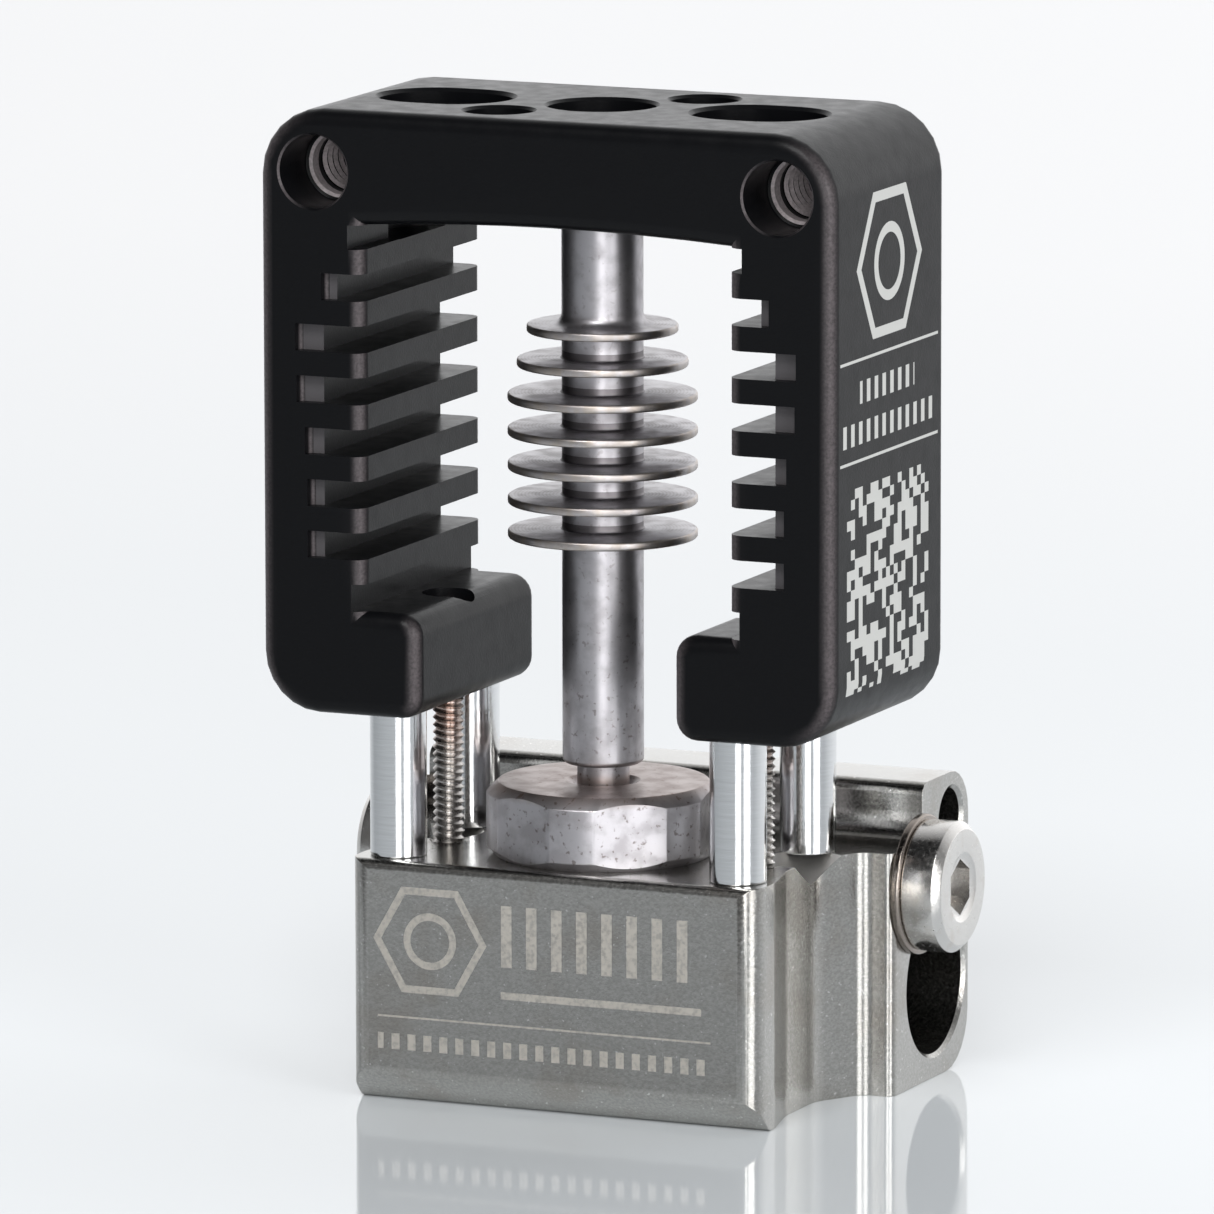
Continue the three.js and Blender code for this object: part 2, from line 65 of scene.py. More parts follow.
FRAME_LOW, FRAME_HIGH = corners("heat_sink_frame")
SLEEVE_LOW, SLEEVE_HIGH = corners("cold_sleeve")
BASE_LOW, BASE_HIGH = corners("heat_break_base")
BLOCK_LOW, BLOCK_HIGH = corners("hot_block")
TUBE_LOW, TUBE_HIGH = corners("standoff_tube_back_right")
LONG_LOW, LONG_HIGH = corners("long_screw_right")
CLAMP_LOW, CLAMP_HIGH = corners("clamp_screw_right")
WASHER_LOW, WASHER_HIGH = corners("clamp_washer_right")
SET_LOW, SET_HIGH = corners("sleeve_set_screw")
# Pieces are laid out about the heat break's axis, which lies in front of the frame's origin.
AXIS_Y = (SLEEVE_LOW.y + SLEEVE_HIGH.y) / 2
HALF_DEPTH = (FRAME_HIGH.y - FRAME_LOW.y) / 2
HALF_WIDTH = FRAME_HIGH.x
BLOCK_TOP = TUBE_LOW.z
BLOCK_FRONT = BLOCK_LOW.y - AXIS_Y
BLOCK_BACK = BLOCK_HIGH.y - AXIS_Y
WING = BLOCK_HIGH.x
FOOT_TOP = LONG_HIGH.z + 0.5
TUBE_RADIUS = (TUBE_HIGH.x - TUBE_LOW.x) / 2
TUBE_X = (TUBE_HIGH.x + TUBE_LOW.x) / 2
TUBE_Y = (TUBE_HIGH.y + TUBE_LOW.y) / 2 - AXIS_Y
LONG_X = (LONG_HIGH.x + LONG_LOW.x) / 2
CLAMP_Y = (CLAMP_HIGH.y + CLAMP_LOW.y) / 2 - AXIS_Y
CLAMP_Z = (CLAMP_HIGH.z + CLAMP_LOW.z) / 2
CLAMP_RADIUS = (CLAMP_HIGH.z - CLAMP_LOW.z) / 2
SET_Z = (SET_HIGH.z + SET_LOW.z) / 2
SET_RADIUS = (SET_HIGH.z - SET_LOW.z) / 2


# ---- Settings a user would change ----------------------------------------------------------
def length(name, description, millimetres):
    return FloatProperty(name=name, description=description, default=millimetres * MM,
                         unit="LENGTH")


def colour(name, description, default):
    return FloatVectorProperty(name=name, description=description, default=default,
                               subtype="COLOR", size=3)


class HotendFrameSettings(bpy.types.PropertyGroup):
    edge_round: length("Edge round", "Radius on the frame's front and back edges", 0.6)
    window_half: length("Window half width", "Half the width of the air window", 7.87)
    tooth_pitch: length("Tooth pitch", "Height from one tooth to the next", 2.078)
    tooth_thickness: length("Tooth thickness", "Height of one tooth", 0.99)
    anodised: colour("Anodised", "Colour of the black anodising", (0.004, 0.0042, 0.005))
    laser_mark: colour("Laser mark", "Colour where the anodising is lasered away",
                       (0.62, 0.62, 0.6))


class HotendBreakSettings(bpy.types.PropertyGroup):
    fin_pitch: length("Fin pitch", "Height from one fin to the next", 1.379)
    fin_thickness: length("Fin thickness", "Height of one fin", 0.34)
    fin_rim: length("Fin rim", "Round on a fin's rim", 0.1)
    base_turn: FloatProperty(
        name="Base turn", description="Turn of the base's flats about the heat break",
        default=math.radians(7.75), subtype="ANGLE")
    alloy: colour("Alloy", "Colour of the heat break", (0.50, 0.485, 0.505))


class HotendBlockSettings(bpy.types.PropertyGroup):
    edge_round: length("Edge round", "Round along the block's edges", 0.3)
    front_bevel: length("Front bevel", "Bevel under the front face", 1.3)
    nickel: colour("Nickel", "Colour of the plating", (0.47, 0.462, 0.442))


class HotendFixingSettings(bpy.types.PropertyGroup):
    long_pitch: length("Long screw pitch", "Thread pitch of the long screws", 0.3)
    clamp_pitch: length("Clamp screw pitch", "Thread pitch of the clamp screws", 0.5)
    segments: IntProperty(
        name="Round segments", description="Sides of a round fixing", default=64, min=16)
    plated: colour("Plated steel", "Colour of the clamp screws and washers",
                   (0.68, 0.665, 0.645))


class HotendStageSettings(bpy.types.PropertyGroup):
    floor: colour("Floor", "Colour of the floor about the object", (0.80, 0.84, 0.87))
    backdrop: colour("Backdrop", "Colour of the floor far behind the object",
                     (0.93, 0.94, 0.96))
    light: FloatProperty(
        name="Light", description="Strength of the soft boxes", default=1.0, min=0.0)


# ---- Outlines and solids ---------------------------------------------------------------------
def rounded(outline, steps=6):
    """Points along an outline of (a, b, radius) corners, each corner turned on its radius."""
    points = []
    for i, (a, b, radius) in enumerate(outline):
        here = Vector((a, b))
        back = (Vector(outline[i - 1][:2]) - here).normalized()
        ahead = (Vector(outline[(i + 1) % len(outline)][:2]) - here).normalized()
        if radius <= 0 or back.dot(ahead) < -0.9999:
            points.append(here)
            continue
        half = back.angle(ahead) / 2
        centre = here + (back + ahead).normalized() * radius / math.sin(half)
        start = here + back * radius / math.tan(half) - centre
        end = here + ahead * radius / math.tan(half) - centre
        turn = math.copysign(math.pi - 2 * half, start.x * end.y - start.y * end.x)
        for k in range(steps + 1):
            points.append(centre + Matrix.Rotation(turn * k / steps, 2) @ start)
    return points


def inset(outline, distance):
    """The outline moved inwards; it runs anticlockwise. Outer radii shrink and inner ones grow."""
    moved = []
    for i, (a, b, radius) in enumerate(outline):
        here = Vector((a, b))
        along = (here - Vector(outline[i - 1][:2])).normalized()
        after = (Vector(outline[(i + 1) % len(outline)][:2]) - here).normalized()
        n1, n2 = Vector((-along.y, along.x)), Vector((-after.y, after.x))
        shift = (n1 + n2) * distance / (1 + n1.dot(n2))
        outer = along.x * after.y - along.y * after.x > 0
        grown = radius - distance if outer else radius + distance
        moved.append((a + shift.x, b + shift.y, max(grown, 0.02) if radius > 0 else 0))
    return moved


def stitch(bm, rings, closed=False):
    """Quads between rings of points; the end rings are capped unless the stack is closed."""
    rings = [[bm.verts.new(p) for p in ring] for ring in rings]
    count = len(rings[0])
    pairs = list(zip(rings, rings[1:] + ([rings[0]] if closed else [])))
    for low, high in pairs:
        for i in range(count):
            j = (i + 1) % count
            bm.faces.new((low[i], low[j], high[j], high[i]))
    if not closed:
        caps = [bm.faces.new(rings[0]), bm.faces.new(rings[-1])]
        for cap in caps:
            cap.normal_update()
        bmesh.ops.triangulate(bm, faces=caps, ngon_method="EAR_CLIP")


def slab(outline, low, high, edge, place, steps=5):
    """A plate with rounded edges. place turns (a, b, depth) into a point."""
    quarter = [math.pi / 2 * k / steps for k in range(steps + 1)] if edge else [math.pi / 2]
    stack = [(edge * (1 - math.sin(t)), low + edge * (1 - math.cos(t))) for t in quarter]
    stack += [(edge * (1 - math.sin(t)), high - edge * (1 - math.cos(t)))
              for t in reversed(quarter)]
    bm = bmesh.new()
    stitch(bm, [[place(p.x, p.y, depth) for p in rounded(inset(outline, d))]
                for d, depth in stack])
    return bm


def lathe(profile, segments=64, turn=None):
    """A closed piece turned about Z from its (radius, height, corner radius) outline."""
    points = rounded(profile, 4)
    bm = bmesh.new()
    rings = []
    for k in range(segments):
        angle = 2 * math.pi * k / segments
        rings.append([(p.x * math.cos(angle), p.x * math.sin(angle), p.y) for p in points])
    stitch(bm, rings, closed=True)
    bmesh.ops.remove_doubles(bm, verts=bm.verts, dist=1e-5)
    bmesh.ops.dissolve_degenerate(bm, edges=bm.edges, dist=1e-6)
    if turn:
        bmesh.ops.transform(bm, matrix=turn, verts=bm.verts)
    return bm


def prism(across_flats, low, high, turn=0.0, move=(0, 0, 0)):
    """A hexagonal prism along Z."""
    radius = across_flats / math.sqrt(3)
    angles = [turn + math.pi / 3 * k for k in range(6)]
    hexagon = [(radius * math.cos(angle), radius * math.sin(angle)) for angle in angles]
    bm = bmesh.new()
    stitch(bm, [[(a, b, z) for a, b in hexagon] for z in (low, high)])
    bmesh.ops.translate(bm, vec=move, verts=bm.verts)
    return bm


def join(thing, *parts):
    """Adds meshes to an object that is still in millimetres."""
    whole = bmesh.new()
    whole.from_mesh(thing.data)
    spare = bpy.data.meshes.new("spare")
    for part in parts:
        bmesh.ops.recalc_face_normals(part, faces=part.faces)
        part.to_mesh(spare)
        part.free()
        whole.from_mesh(spare)
    whole.to_mesh(thing.data)
    whole.free()
    bpy.data.meshes.remove(spare)
    return thing


def rough_object(name, *parts):
    """An unfinished object in millimetres, from one or more meshes."""
    thing = bpy.data.objects.new(name, bpy.data.meshes.new(name))
    bpy.context.scene.collection.objects.link(thing)
    return join(thing, *parts)


def settle(thing):
    """Turns an object's modifiers into its mesh."""
    bpy.context.view_layer.update()
    graph = bpy.context.evaluated_depsgraph_get()
    mesh = bpy.data.meshes.new_from_object(thing.evaluated_get(graph))
    thing.modifiers.clear()
    thing.data = mesh
    return thing


def combine(thing, parts, operation):
    """Cuts parts from thing, or keeps only what they share."""
    tool = rough_object("tool", *parts)
    modifier = thing.modifiers.new("combine", "BOOLEAN")
    modifier.operation = operation
    modifier.solver = "EXACT"
    modifier.use_self = operation == "DIFFERENCE"
    modifier.object = tool
    settle(thing)
    bpy.data.objects.remove(tool)
    return thing


def soften(thing, width, segments=3, angle=40):
    """A small round along the edges that turn by more than angle."""
    modifier = thing.modifiers.new("soften", "BEVEL")
    modifier.width = width
    modifier.segments = segments
    modifier.limit_method = "ANGLE"
    modifier.angle_limit = math.radians(angle)
    modifier.use_clamp_overlap = True
    modifier.miter_outer = "MITER_ARC"
    return settle(thing)


def finish(thing, material, slot, body, *nodes, smooth=32):
    """Puts a piece in the frame, in metres, gives it its material, parents it to its body and hides
    the imported parts it stands in for.
    """
    place = Matrix.Translation((0, AXIS_Y * MM, 0)) @ Matrix.Scale(MM, 4)
    thing.data.transform(place)
    thing.data.materials.clear()
    thing.data.materials.append(material)
    thing.data.polygons.foreach_set("material_index", [0] * len(thing.data.polygons))
    thing.data.shade_smooth()
    thing.data.set_sharp_from_angle(angle=math.radians(smooth))
    flat = thing.modifiers.new("flat faces", "WEIGHTED_NORMAL")
    flat.keep_sharp = True
    settle(thing)
    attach(thing, body)
    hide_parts(*nodes)
    return thing


# ---- Threads ---------------------------------------------------------------------------------
POINTS_A_TURN = 32
RIDGE_SIDES = 4


def thread_tree():
    """A ridge that climbs round Z: Radius, Pitch, Turns, Ridge and Material."""
    tree = bpy.data.node_groups.get("Thread ridge")
    if tree:
        return tree
    tree = bpy.data.node_groups.new("Thread ridge", "GeometryNodeTree")
    tree.interface.new_socket("Geometry", in_out="OUTPUT", socket_type="NodeSocketGeometry")
    for name, kind in (("Radius", "NodeSocketFloat"), ("Pitch", "NodeSocketFloat"),
                       ("Turns", "NodeSocketFloat"), ("Ridge", "NodeSocketFloat"),
                       ("Material", "NodeSocketMaterial")):
        tree.interface.new_socket(name, in_out="INPUT", socket_type=kind)
    nodes = tree.nodes
    given = nodes.new("NodeGroupInput")
    height = nodes.new("ShaderNodeMath")
    height.operation = "MULTIPLY"
    spiral = nodes.new("GeometryNodeCurveSpiral")
    spiral.inputs["Resolution"].default_value = POINTS_A_TURN
    upright = nodes.new("GeometryNodeSetCurveNormal")
    upright.mode = "Z_UP"
    section = nodes.new("GeometryNodeCurvePrimitiveCircle")
    section.inputs["Resolution"].default_value = RIDGE_SIDES
    sweep = nodes.new("GeometryNodeCurveToMesh")
    sweep.inputs["Fill Caps"].default_value = True
    real = nodes.new("GeometryNodeRealizeInstances")
    paint = nodes.new("GeometryNodeSetMaterial")
    result = nodes.new("NodeGroupOutput")
    for start, end in (
            (given.outputs["Pitch"], height.inputs[0]),
            (given.outputs["Turns"], height.inputs[1]),
            (given.outputs["Turns"], spiral.inputs["Rotations"]),
            (given.outputs["Radius"], spiral.inputs["Start Radius"]),
            (given.outputs["Radius"], spiral.inputs["End Radius"]),
            (height.outputs[0], spiral.inputs["Height"]),
            (spiral.outputs["Curve"], upright.inputs["Curve"]),
            (given.outputs["Ridge"], section.inputs["Radius"]),
            (upright.outputs["Curve"], sweep.inputs["Curve"]),
            (section.outputs["Curve"], sweep.inputs["Profile Curve"]),
            (sweep.outputs["Mesh"], real.inputs["Geometry"]),
            (real.outputs["Geometry"], paint.inputs["Geometry"]),
            (given.outputs["Material"], paint.inputs["Material"]),
            (paint.outputs["Geometry"], result.inputs["Geometry"])):
        tree.links.new(start, end)
    return tree


def thread(radius, pitch, turns, ridge, material, place):
    """The thread's ridge as a mesh of its own, moved by the place matrix."""
    tree = thread_tree()
    thing = rough_object("thread")
    modifier = thing.modifiers.new("thread", "NODES")
    modifier.node_group = tree
    given = {"Radius": radius, "Pitch": pitch, "Turns": turns, "Ridge": ridge,
             "Material": material}
    for item in tree.interface.items_tree:
        if item.in_out == "INPUT":
            modifier[item.identifier] = given[item.name]
    settle(thing)
    bm = bmesh.new()
    bm.from_mesh(thing.data)
    bmesh.ops.transform(bm, matrix=place, verts=bm.verts)
    bpy.data.objects.remove(thing)
    return bm


# ---- Materials -------------------------------------------------------------------------------
METAL, NOT_METAL = 1.0, 0.0
BARE_EDGE = (0.10, 0.095, 0.10)
BARE_THREAD = (0.58, 0.52, 0.53)
# Painted highlight, partly edge wear: colour laid on the frame's rounded front edges.
PAINTED_EDGE_HIGHLIGHT = (0.11, 0.096, 0.10)
ALLOY_MOTTLE = (0.27, 0.25, 0.26)
ALLOY_PIT = (0.16, 0.13, 0.12)
NECK_HEAT = (0.28, 0.17, 0.11)
FIN_RIM = (0.44, 0.39, 0.35)
FIN_RING = (0.27, 0.24, 0.23)
# Painted shade for the band just above each fin.
PAINTED_FIN_SHADE = (0.10, 0.088, 0.092)
POLISHED = (0.74, 0.75, 0.76)
SATIN = (0.26, 0.255, 0.24)
STAIN = (0.31, 0.27, 0.23)
PAINTED_GLINT = (0.8, 0.79, 0.77)
ETCHED = (0.70, 0.66, 0.60)
DRILLED = (0.82, 0.80, 0.77)
PLATING_WEAR = (0.5, 0.43, 0.36)
WASHER_EDGE = (0.24, 0.20, 0.17)
DARK_STEEL = (0.5, 0.48, 0.46)
SCREW_HEAT = (0.42, 0.22, 0.15)
# Rectangles on the frame's right side and the block's front, each given in millimetres by its
# lowest and highest place across the face, then up it.
SIDE_RULES = ((-5.1, 4.95, 31.0, 31.12), (-5.1, 4.95, 27.0, 27.12))
SIDE_BARS = ((-3.1, 2.5, 29.3, 30.2), (-4.9, 4.75, 27.7, 28.6))
SIDE_CELLS = (-4.4, 4.0, 17.2, 26.0)
CELL = 0.4
FRONT_BARS = (-2.2, 6.5, 6.0, 8.5)
FRONT_RULES = ((-2.2, 6.5, 4.7, 5.0), (-7.6, 6.9, 3.6, 3.68))
FRONT_DASHES = (-7.6, 6.9, 2.3, 2.95)
SKIN = 0.05


class Finish:
    """A surface finish and short ways to add nodes to it. Lengths are in metres unless said."""

    def __init__(self, name, colour, metallic, roughness=None):
        self.material = bpy.data.materials.new(name)
        self.material.use_nodes = True
        self.tree = self.material.node_tree
        self.shader = self.tree.nodes["Principled BSDF"]
        self.shader.inputs["Metallic"].default_value = metallic
        self.colour = tuple(colour)
        self.roughness = roughness
        self.place = self.node("ShaderNodeTexCoord").outputs["Object"]
        axes = self.node("ShaderNodeSeparateXYZ")
        self.link(self.place, axes.inputs[0])
        self.x, self.y, self.z = axes.outputs
        self.across = self.sum("SUBTRACT", self.y, AXIS_Y * MM)

    def node(self, kind):
        return self.tree.nodes.new(kind)

    def link(self, start, end):
        self.tree.links.new(start, end)

    def sum(self, operation, *terms):
        node = self.node("ShaderNodeMath")
        node.operation = operation
        for socket, term in zip(node.inputs, terms):
            if isinstance(term, (int, float)):
                socket.default_value = term
            else:
                self.link(term, socket)
        return node.outputs[0]

    def times(self, first, *others):
        """The product of all the terms."""
        for other in others:
            first = self.sum("MULTIPLY", first, other)
        return first

    def squares(self, a, b):
        return self.sum("ADD", self.times(a, a), self.times(b, b))

    def union(self, masks):
        """The greatest of the masks."""
        total = masks[0]
        for mask in masks[1:]:
            total = self.sum("MAXIMUM", total, mask)
        return total

    def noise(self, scale, detail=3, stretch=(1, 1, 1)):
        mapping = self.node("ShaderNodeMapping")
        mapping.inputs["Scale"].default_value = stretch
        node = self.node("ShaderNodeTexNoise")
        node.inputs["Scale"].default_value = scale
        node.inputs["Detail"].default_value = detail
        self.link(self.place, mapping.inputs["Vector"])
        self.link(mapping.outputs[0], node.inputs["Vector"])
        return node.outputs["Fac"]

    def spread(self, source, low, high, to_low, to_high):
        node = self.node("ShaderNodeMapRange")
        for socket, number in zip(node.inputs[1:5], (low, high, to_low, to_high)):
            socket.default_value = number
        self.link(source, node.inputs[0])
        return node.outputs[0]

    def give(self, socket, term):
        """Links a node's output, or sets a plain number or colour on the socket itself."""
        if isinstance(term, bpy.types.NodeSocket):
            self.link(term, socket)
        else:
            socket.default_value = (*term, 1) if isinstance(term, tuple) else term

    def tint(self, share, colour):
        node = self.node("ShaderNodeMix")
        node.data_type = "RGBA"
        for socket, term in ((node.inputs[0], share), (node.inputs[6], self.colour),
                             (node.inputs[7], tuple(colour))):
            self.give(socket, term)
        self.colour = node.outputs[2]

    def blend_roughness(self, share, roughness):
        kept = self.times(self.roughness, self.sum("SUBTRACT", 1.0, share))
        self.roughness = self.sum("ADD", kept, self.times(share, roughness))

    def patch(self, u, v, low_u, high_u, low_v, high_v):
        """1 inside a rectangle given in millimetres."""
        return self.times(self.between(u, low_u, high_u), self.between(v, low_v, high_v))

    def stripes(self, u, pitch, share):
        """1 on bars that repeat every pitch millimetres."""
        return self.sum("LESS_THAN", self.sum("FRACT", self.sum("DIVIDE", u, pitch * MM)), share)

    def ring(self, distance, radius, width):
        return self.sum("COMPARE", distance, radius * MM, width / 2 * MM)

    def nut_mark(self, u, v, centre_u, centre_v, radius, line):
        """A plain hexagon outline with a ring in it."""
        du = self.sum("ABSOLUTE", self.sum("SUBTRACT", u, centre_u * MM))
        dv = self.sum("ABSOLUTE", self.sum("SUBTRACT", v, centre_v * MM))
        slope = self.sum("ADD", self.times(du, math.sqrt(0.75)), self.times(dv, 0.5))
        hexagon = self.ring(self.sum("MAXIMUM", slope, dv), radius, line)
        distance = self.sum("SQRT", self.squares(du, dv))
        return self.sum("MAXIMUM", hexagon, self.ring(distance, radius * 0.5, line))

    def disc(self, u, v, centre_u, centre_v, radius):
        """1 within a radius of a line, in millimetres, on both sides of the object alike."""
        du = self.sum("SUBTRACT", self.sum("ABSOLUTE", u), centre_u * MM)
        dv = self.sum("SUBTRACT", v, centre_v * MM)
        return self.sum("LESS_THAN", self.squares(du, dv), (radius * MM) ** 2)

    def slope(self, axis):
        """How far the surface faces along one of the object's axes, from -1 to 1."""
        node = self.node("ShaderNodeNewGeometry")
        split = self.node("ShaderNodeSeparateXYZ")
        self.link(node.outputs["Normal"], split.inputs[0])
        return split.outputs[axis]

    def facing(self, axis, sign, least=0.98):
        """1 where the surface faces along one of the object's axes."""
        return self.sum("GREATER_THAN", self.times(self.slope(axis), sign), least)

    def between(self, source, low, high):
        """1 where a length lies between two others, given in millimetres."""
        return self.sum("COMPARE", source, (low + high) / 2 * MM, (high - low) / 2 * MM)

    def bump(self, source, depth):
        node = self.node("ShaderNodeBump")
        node.inputs["Strength"].default_value = 1.0
        node.inputs["Distance"].default_value = depth
        self.link(source, node.inputs["Height"])
        self.link(node.outputs[0], self.shader.inputs["Normal"])

    def done(self):
        self.give(self.shader.inputs["Base Color"], self.colour)
        self.give(self.shader.inputs["Roughness"], self.roughness)
        return self.material


def once(maker):
    """Keeps one copy of each material."""
    made = {}

    def get():
        if maker.__name__ not in made:
            made[maker.__name__] = maker()
        return made[maker.__name__]
    return get


def side_marks(look):
    """Lasered marks on the frame's right side: a nut mark, rules, bars and a field of cells."""
    y, z = look.across, look.z
    grid = look.node("ShaderNodeCombineXYZ")
    for socket, axis in zip(grid.inputs, (y, z)):
        look.link(look.sum("FLOOR", look.sum("DIVIDE", axis, CELL * MM)), socket)
    scatter = look.node("ShaderNodeTexWhiteNoise")
    look.link(grid.outputs[0], scatter.inputs["Vector"])
    cells = look.times(look.sum("GREATER_THAN", scatter.outputs["Value"], 0.5),
                       look.patch(y, z, *SIDE_CELLS))
    masks = [look.nut_mark(y, z, -0.1, 34.6, 2.7, 0.42)]
    masks += [look.patch(y, z, *rule) for rule in SIDE_RULES]
    masks += [look.times(look.patch(y, z, *bars), look.stripes(y, 0.8, 0.45)) for bars in SIDE_BARS]
    masks.append(cells)
    outside = look.sum("GREATER_THAN", look.x, (HALF_WIDTH - SKIN) * MM)
    return look.times(look.union(masks), look.facing(0, 1), outside)


def front_marks(look):
    """Etched marks on the block's front: a nut mark, bars, rules and dashes."""
    x, z = look.x, look.z
    masks = [
        look.nut_mark(x, z, -5.3, 6.8, 2.0, 0.3),
        look.times(look.patch(x, z, *FRONT_BARS), look.stripes(x, 1.09, 0.42)),
        *(look.patch(x, z, *rule) for rule in FRONT_RULES),
        look.times(look.patch(x, z, *FRONT_DASHES), look.stripes(x, 0.7, 0.5)),
    ]
    outside = look.sum("LESS_THAN", look.y, (BLOCK_FRONT + AXIS_Y + SKIN) * MM)
    return look.times(look.union(masks), look.facing(1, -1), outside)


@once
def black_anodised():
    wanted = bpy.context.scene.hotend_frame
    look = Finish("black_anodised", wanted.anodised, NOT_METAL)
    look.shader.inputs["Specular IOR Level"].default_value = 0.13
    grain = look.noise(9000, 4)
    look.roughness = look.spread(look.noise(1400, 3), 0.3, 0.7, 0.28, 0.36)
    marks = side_marks(look)
    look.tint(marks, wanted.laser_mark)
    depth = look.sum("SUBTRACT", look.y, (AXIS_Y - HALF_DEPTH) * MM)
    flare = look.times(look.sum("COMPARE", depth, FLARE_DEPTH * MM, 0.03 * MM),
                       look.facing(1, -1))
    look.tint(look.times(flare, 0.8), BARE_EDGE)
    crest = look.times(look.disc(look.x, look.z, FAN_X, FAN_Z, FAN_BORE - 0.04),
                       look.between(depth, FAN_DEPTH, FAN_END - 0.3))
    land = look.times(look.disc(look.x, look.z, FAN_X, FAN_Z, FAN_BORE + 0.12),
                      look.between(depth, FAN_DEPTH - 0.1, FAN_DEPTH + FAN_LAND - 0.2))
    bare = look.union((crest, land))
    look.tint(look.times(bare, look.spread(grain, 0.35, 0.65, 0.7, 1)), BARE_THREAD)
    # Painted highlight, partly edge wear: the rounded front edges and tooth tips are lightened most
    # where they turn halfway from front to side, standing in for their sheen.
    corner = look.times(look.slope(0), look.slope(1))
    wear_and_highlight = look.times(corner, corner, 4.0, look.between(depth, -0.02, 0.6))
    look.tint(look.times(wear_and_highlight, look.spread(grain, 0.35, 0.65, 0.6, 1)), PAINTED_EDGE_HIGHLIGHT)
    look.blend_roughness(marks, 0.6)
    look.bump(grain, 0.000006)
    return look.done()


@once
def heat_break_steel():
    wanted = bpy.context.scene.hotend_break
    look = Finish("heat_break_steel", wanted.alloy, METAL)
    turned = look.noise(9000, 3, (0.3, 0.3, 1))
    mottle = look.noise(1100, 5)
    pits = look.noise(4200, 2)
    look.tint(look.spread(mottle, 0.46, 0.62, 0, 0.4), ALLOY_MOTTLE)
    fewer_above = look.spread(look.z, 13 * MM, 25 * MM, 1, 0.35)
    look.tint(look.times(look.spread(pits, 0.62, 0.7, 0, 0.7), fewer_above), ALLOY_PIT)
    look.roughness = look.spread(mottle, 0.3, 0.7, 0.34, 0.48)
    heat = look.times(look.spread(look.z, 12.45 * MM, 12.9 * MM, 0, 1),
                      look.spread(look.z, 13.3 * MM, 13.0 * MM, 0, 1))
    look.tint(look.times(heat, 0.45), NECK_HEAT)
    distance = look.sum("SQRT", look.squares(look.x, look.across))
    rims = [look.times(look.between(distance, radius - 0.07, radius + 0.1),
                       look.between(look.z, low, high))
            for radius, low, high in FIN_BANDS]
    wear_and_highlight = look.spread(look.noise(2500, 3), 0.35, 0.65, 0.3, 1)
    look.tint(look.times(look.union(rims), wear_and_highlight), FIN_RIM)
    on_fins = look.between(look.z, FIN_BANDS[0][1], FIN_TOP + 0.1)
    rings = look.times(look.stripes(distance, 0.14, 0.4), on_fins, look.facing(2, 1))
    look.tint(look.times(rings, look.spread(mottle, 0.4, 0.6, 0.1, 0.5)), FIN_RING)
    # Painted shade: root marks a dark band just above each fin's top on the sleeve, standing in for
    # the fin's shadow and its dark reflection.
    above_fin = look.sum("FRACT", look.sum(
        "DIVIDE", look.sum("SUBTRACT", look.z, FIN_TOP * MM), wanted.fin_pitch))
    root = look.times(look.sum("LESS_THAN", above_fin, 0.24),
                      look.sum("LESS_THAN", distance, 1.7 * MM))
    look.tint(look.times(root, on_fins, 0.75), PAINTED_FIN_SHADE)
    look.bump(turned, 0.000002)
    return look.done()


@once
def polished_steel():
    look = Finish("polished_steel", POLISHED, METAL)
    streaks = look.noise(4500, 3, (0.12, 0.12, 1))
    look.roughness = look.spread(streaks, 0.3, 0.7, 0.08, 0.18)
    look.bump(streaks, 0.000004)
    return look.done()


@once
def nickel_plate():
    wanted = bpy.context.scene.hotend_block
    look = Finish("nickel_plate", wanted.nickel, METAL)
    satin = look.noise(8000, 4)
    glints = look.noise(6500, 1)
    stain = look.noise(420, 4)
    look.tint(look.spread(satin, 0.40, 0.60, 0.4, 0), SATIN)
    look.tint(look.spread(stain, 0.52, 0.70, 0, 0.35), STAIN)
    # Painted glints: scattered bright specks on the plating stand in for the sparkle of its satin
    # finish.
    look.tint(look.spread(glints, 0.70, 0.74, 0, 0.8), PAINTED_GLINT)
    look.roughness = look.spread(satin, 0.3, 0.7, 0.15, 0.27)
    marks = look.times(front_marks(look), look.spread(satin, 0.35, 0.55, 0.6, 1))
    look.tint(marks, ETCHED)
    look.blend_roughness(marks, 0.55)
    drilled = look.times(
        look.disc(look.x, look.across, RELIEF_X, RELIEF_Y, RELIEF_RADIUS + 0.03),
        look.between(look.z, BLOCK_TOP - RELIEF_DEPTH - 0.1, BLOCK_TOP - 0.02),
        look.facing(2, 1, 0.5))
    look.tint(drilled, DRILLED)
    look.blend_roughness(drilled, 0.5)
    look.bump(satin, 0.000006)
    return look.done()


@once
def plated_steel():
    wanted = bpy.context.scene.hotend_fixing
    look = Finish("plated_steel", wanted.plated, METAL)
    grain = look.noise(7000, 3)
    look.tint(look.spread(look.noise(1500, 3), 0.55, 0.75, 0, 0.35), PLATING_WEAR)
    washer = look.sum("LESS_THAN", look.sum("ABSOLUTE", look.x), (WASHER_HIGH.x + 0.02) * MM)
    look.tint(look.times(washer, 0.85), WASHER_EDGE)
    look.roughness = look.spread(grain, 0.3, 0.7, 0.17, 0.28)
    look.bump(grain, 0.000003)
    return look.done()


@once
def dark_steel():
    look = Finish("dark_steel", DARK_STEEL, METAL)
    grain = look.noise(6000, 3)
    heat = look.spread(look.z, 13 * MM, 15 * MM, 0, 0.5)
    look.tint(look.times(heat, look.spread(look.noise(700), 0.4, 0.6, 0.5, 1)), SCREW_HEAT)
    look.roughness = look.spread(grain, 0.3, 0.7, 0.22, 0.36)
    look.bump(grain, 0.000003)
    return look.done()


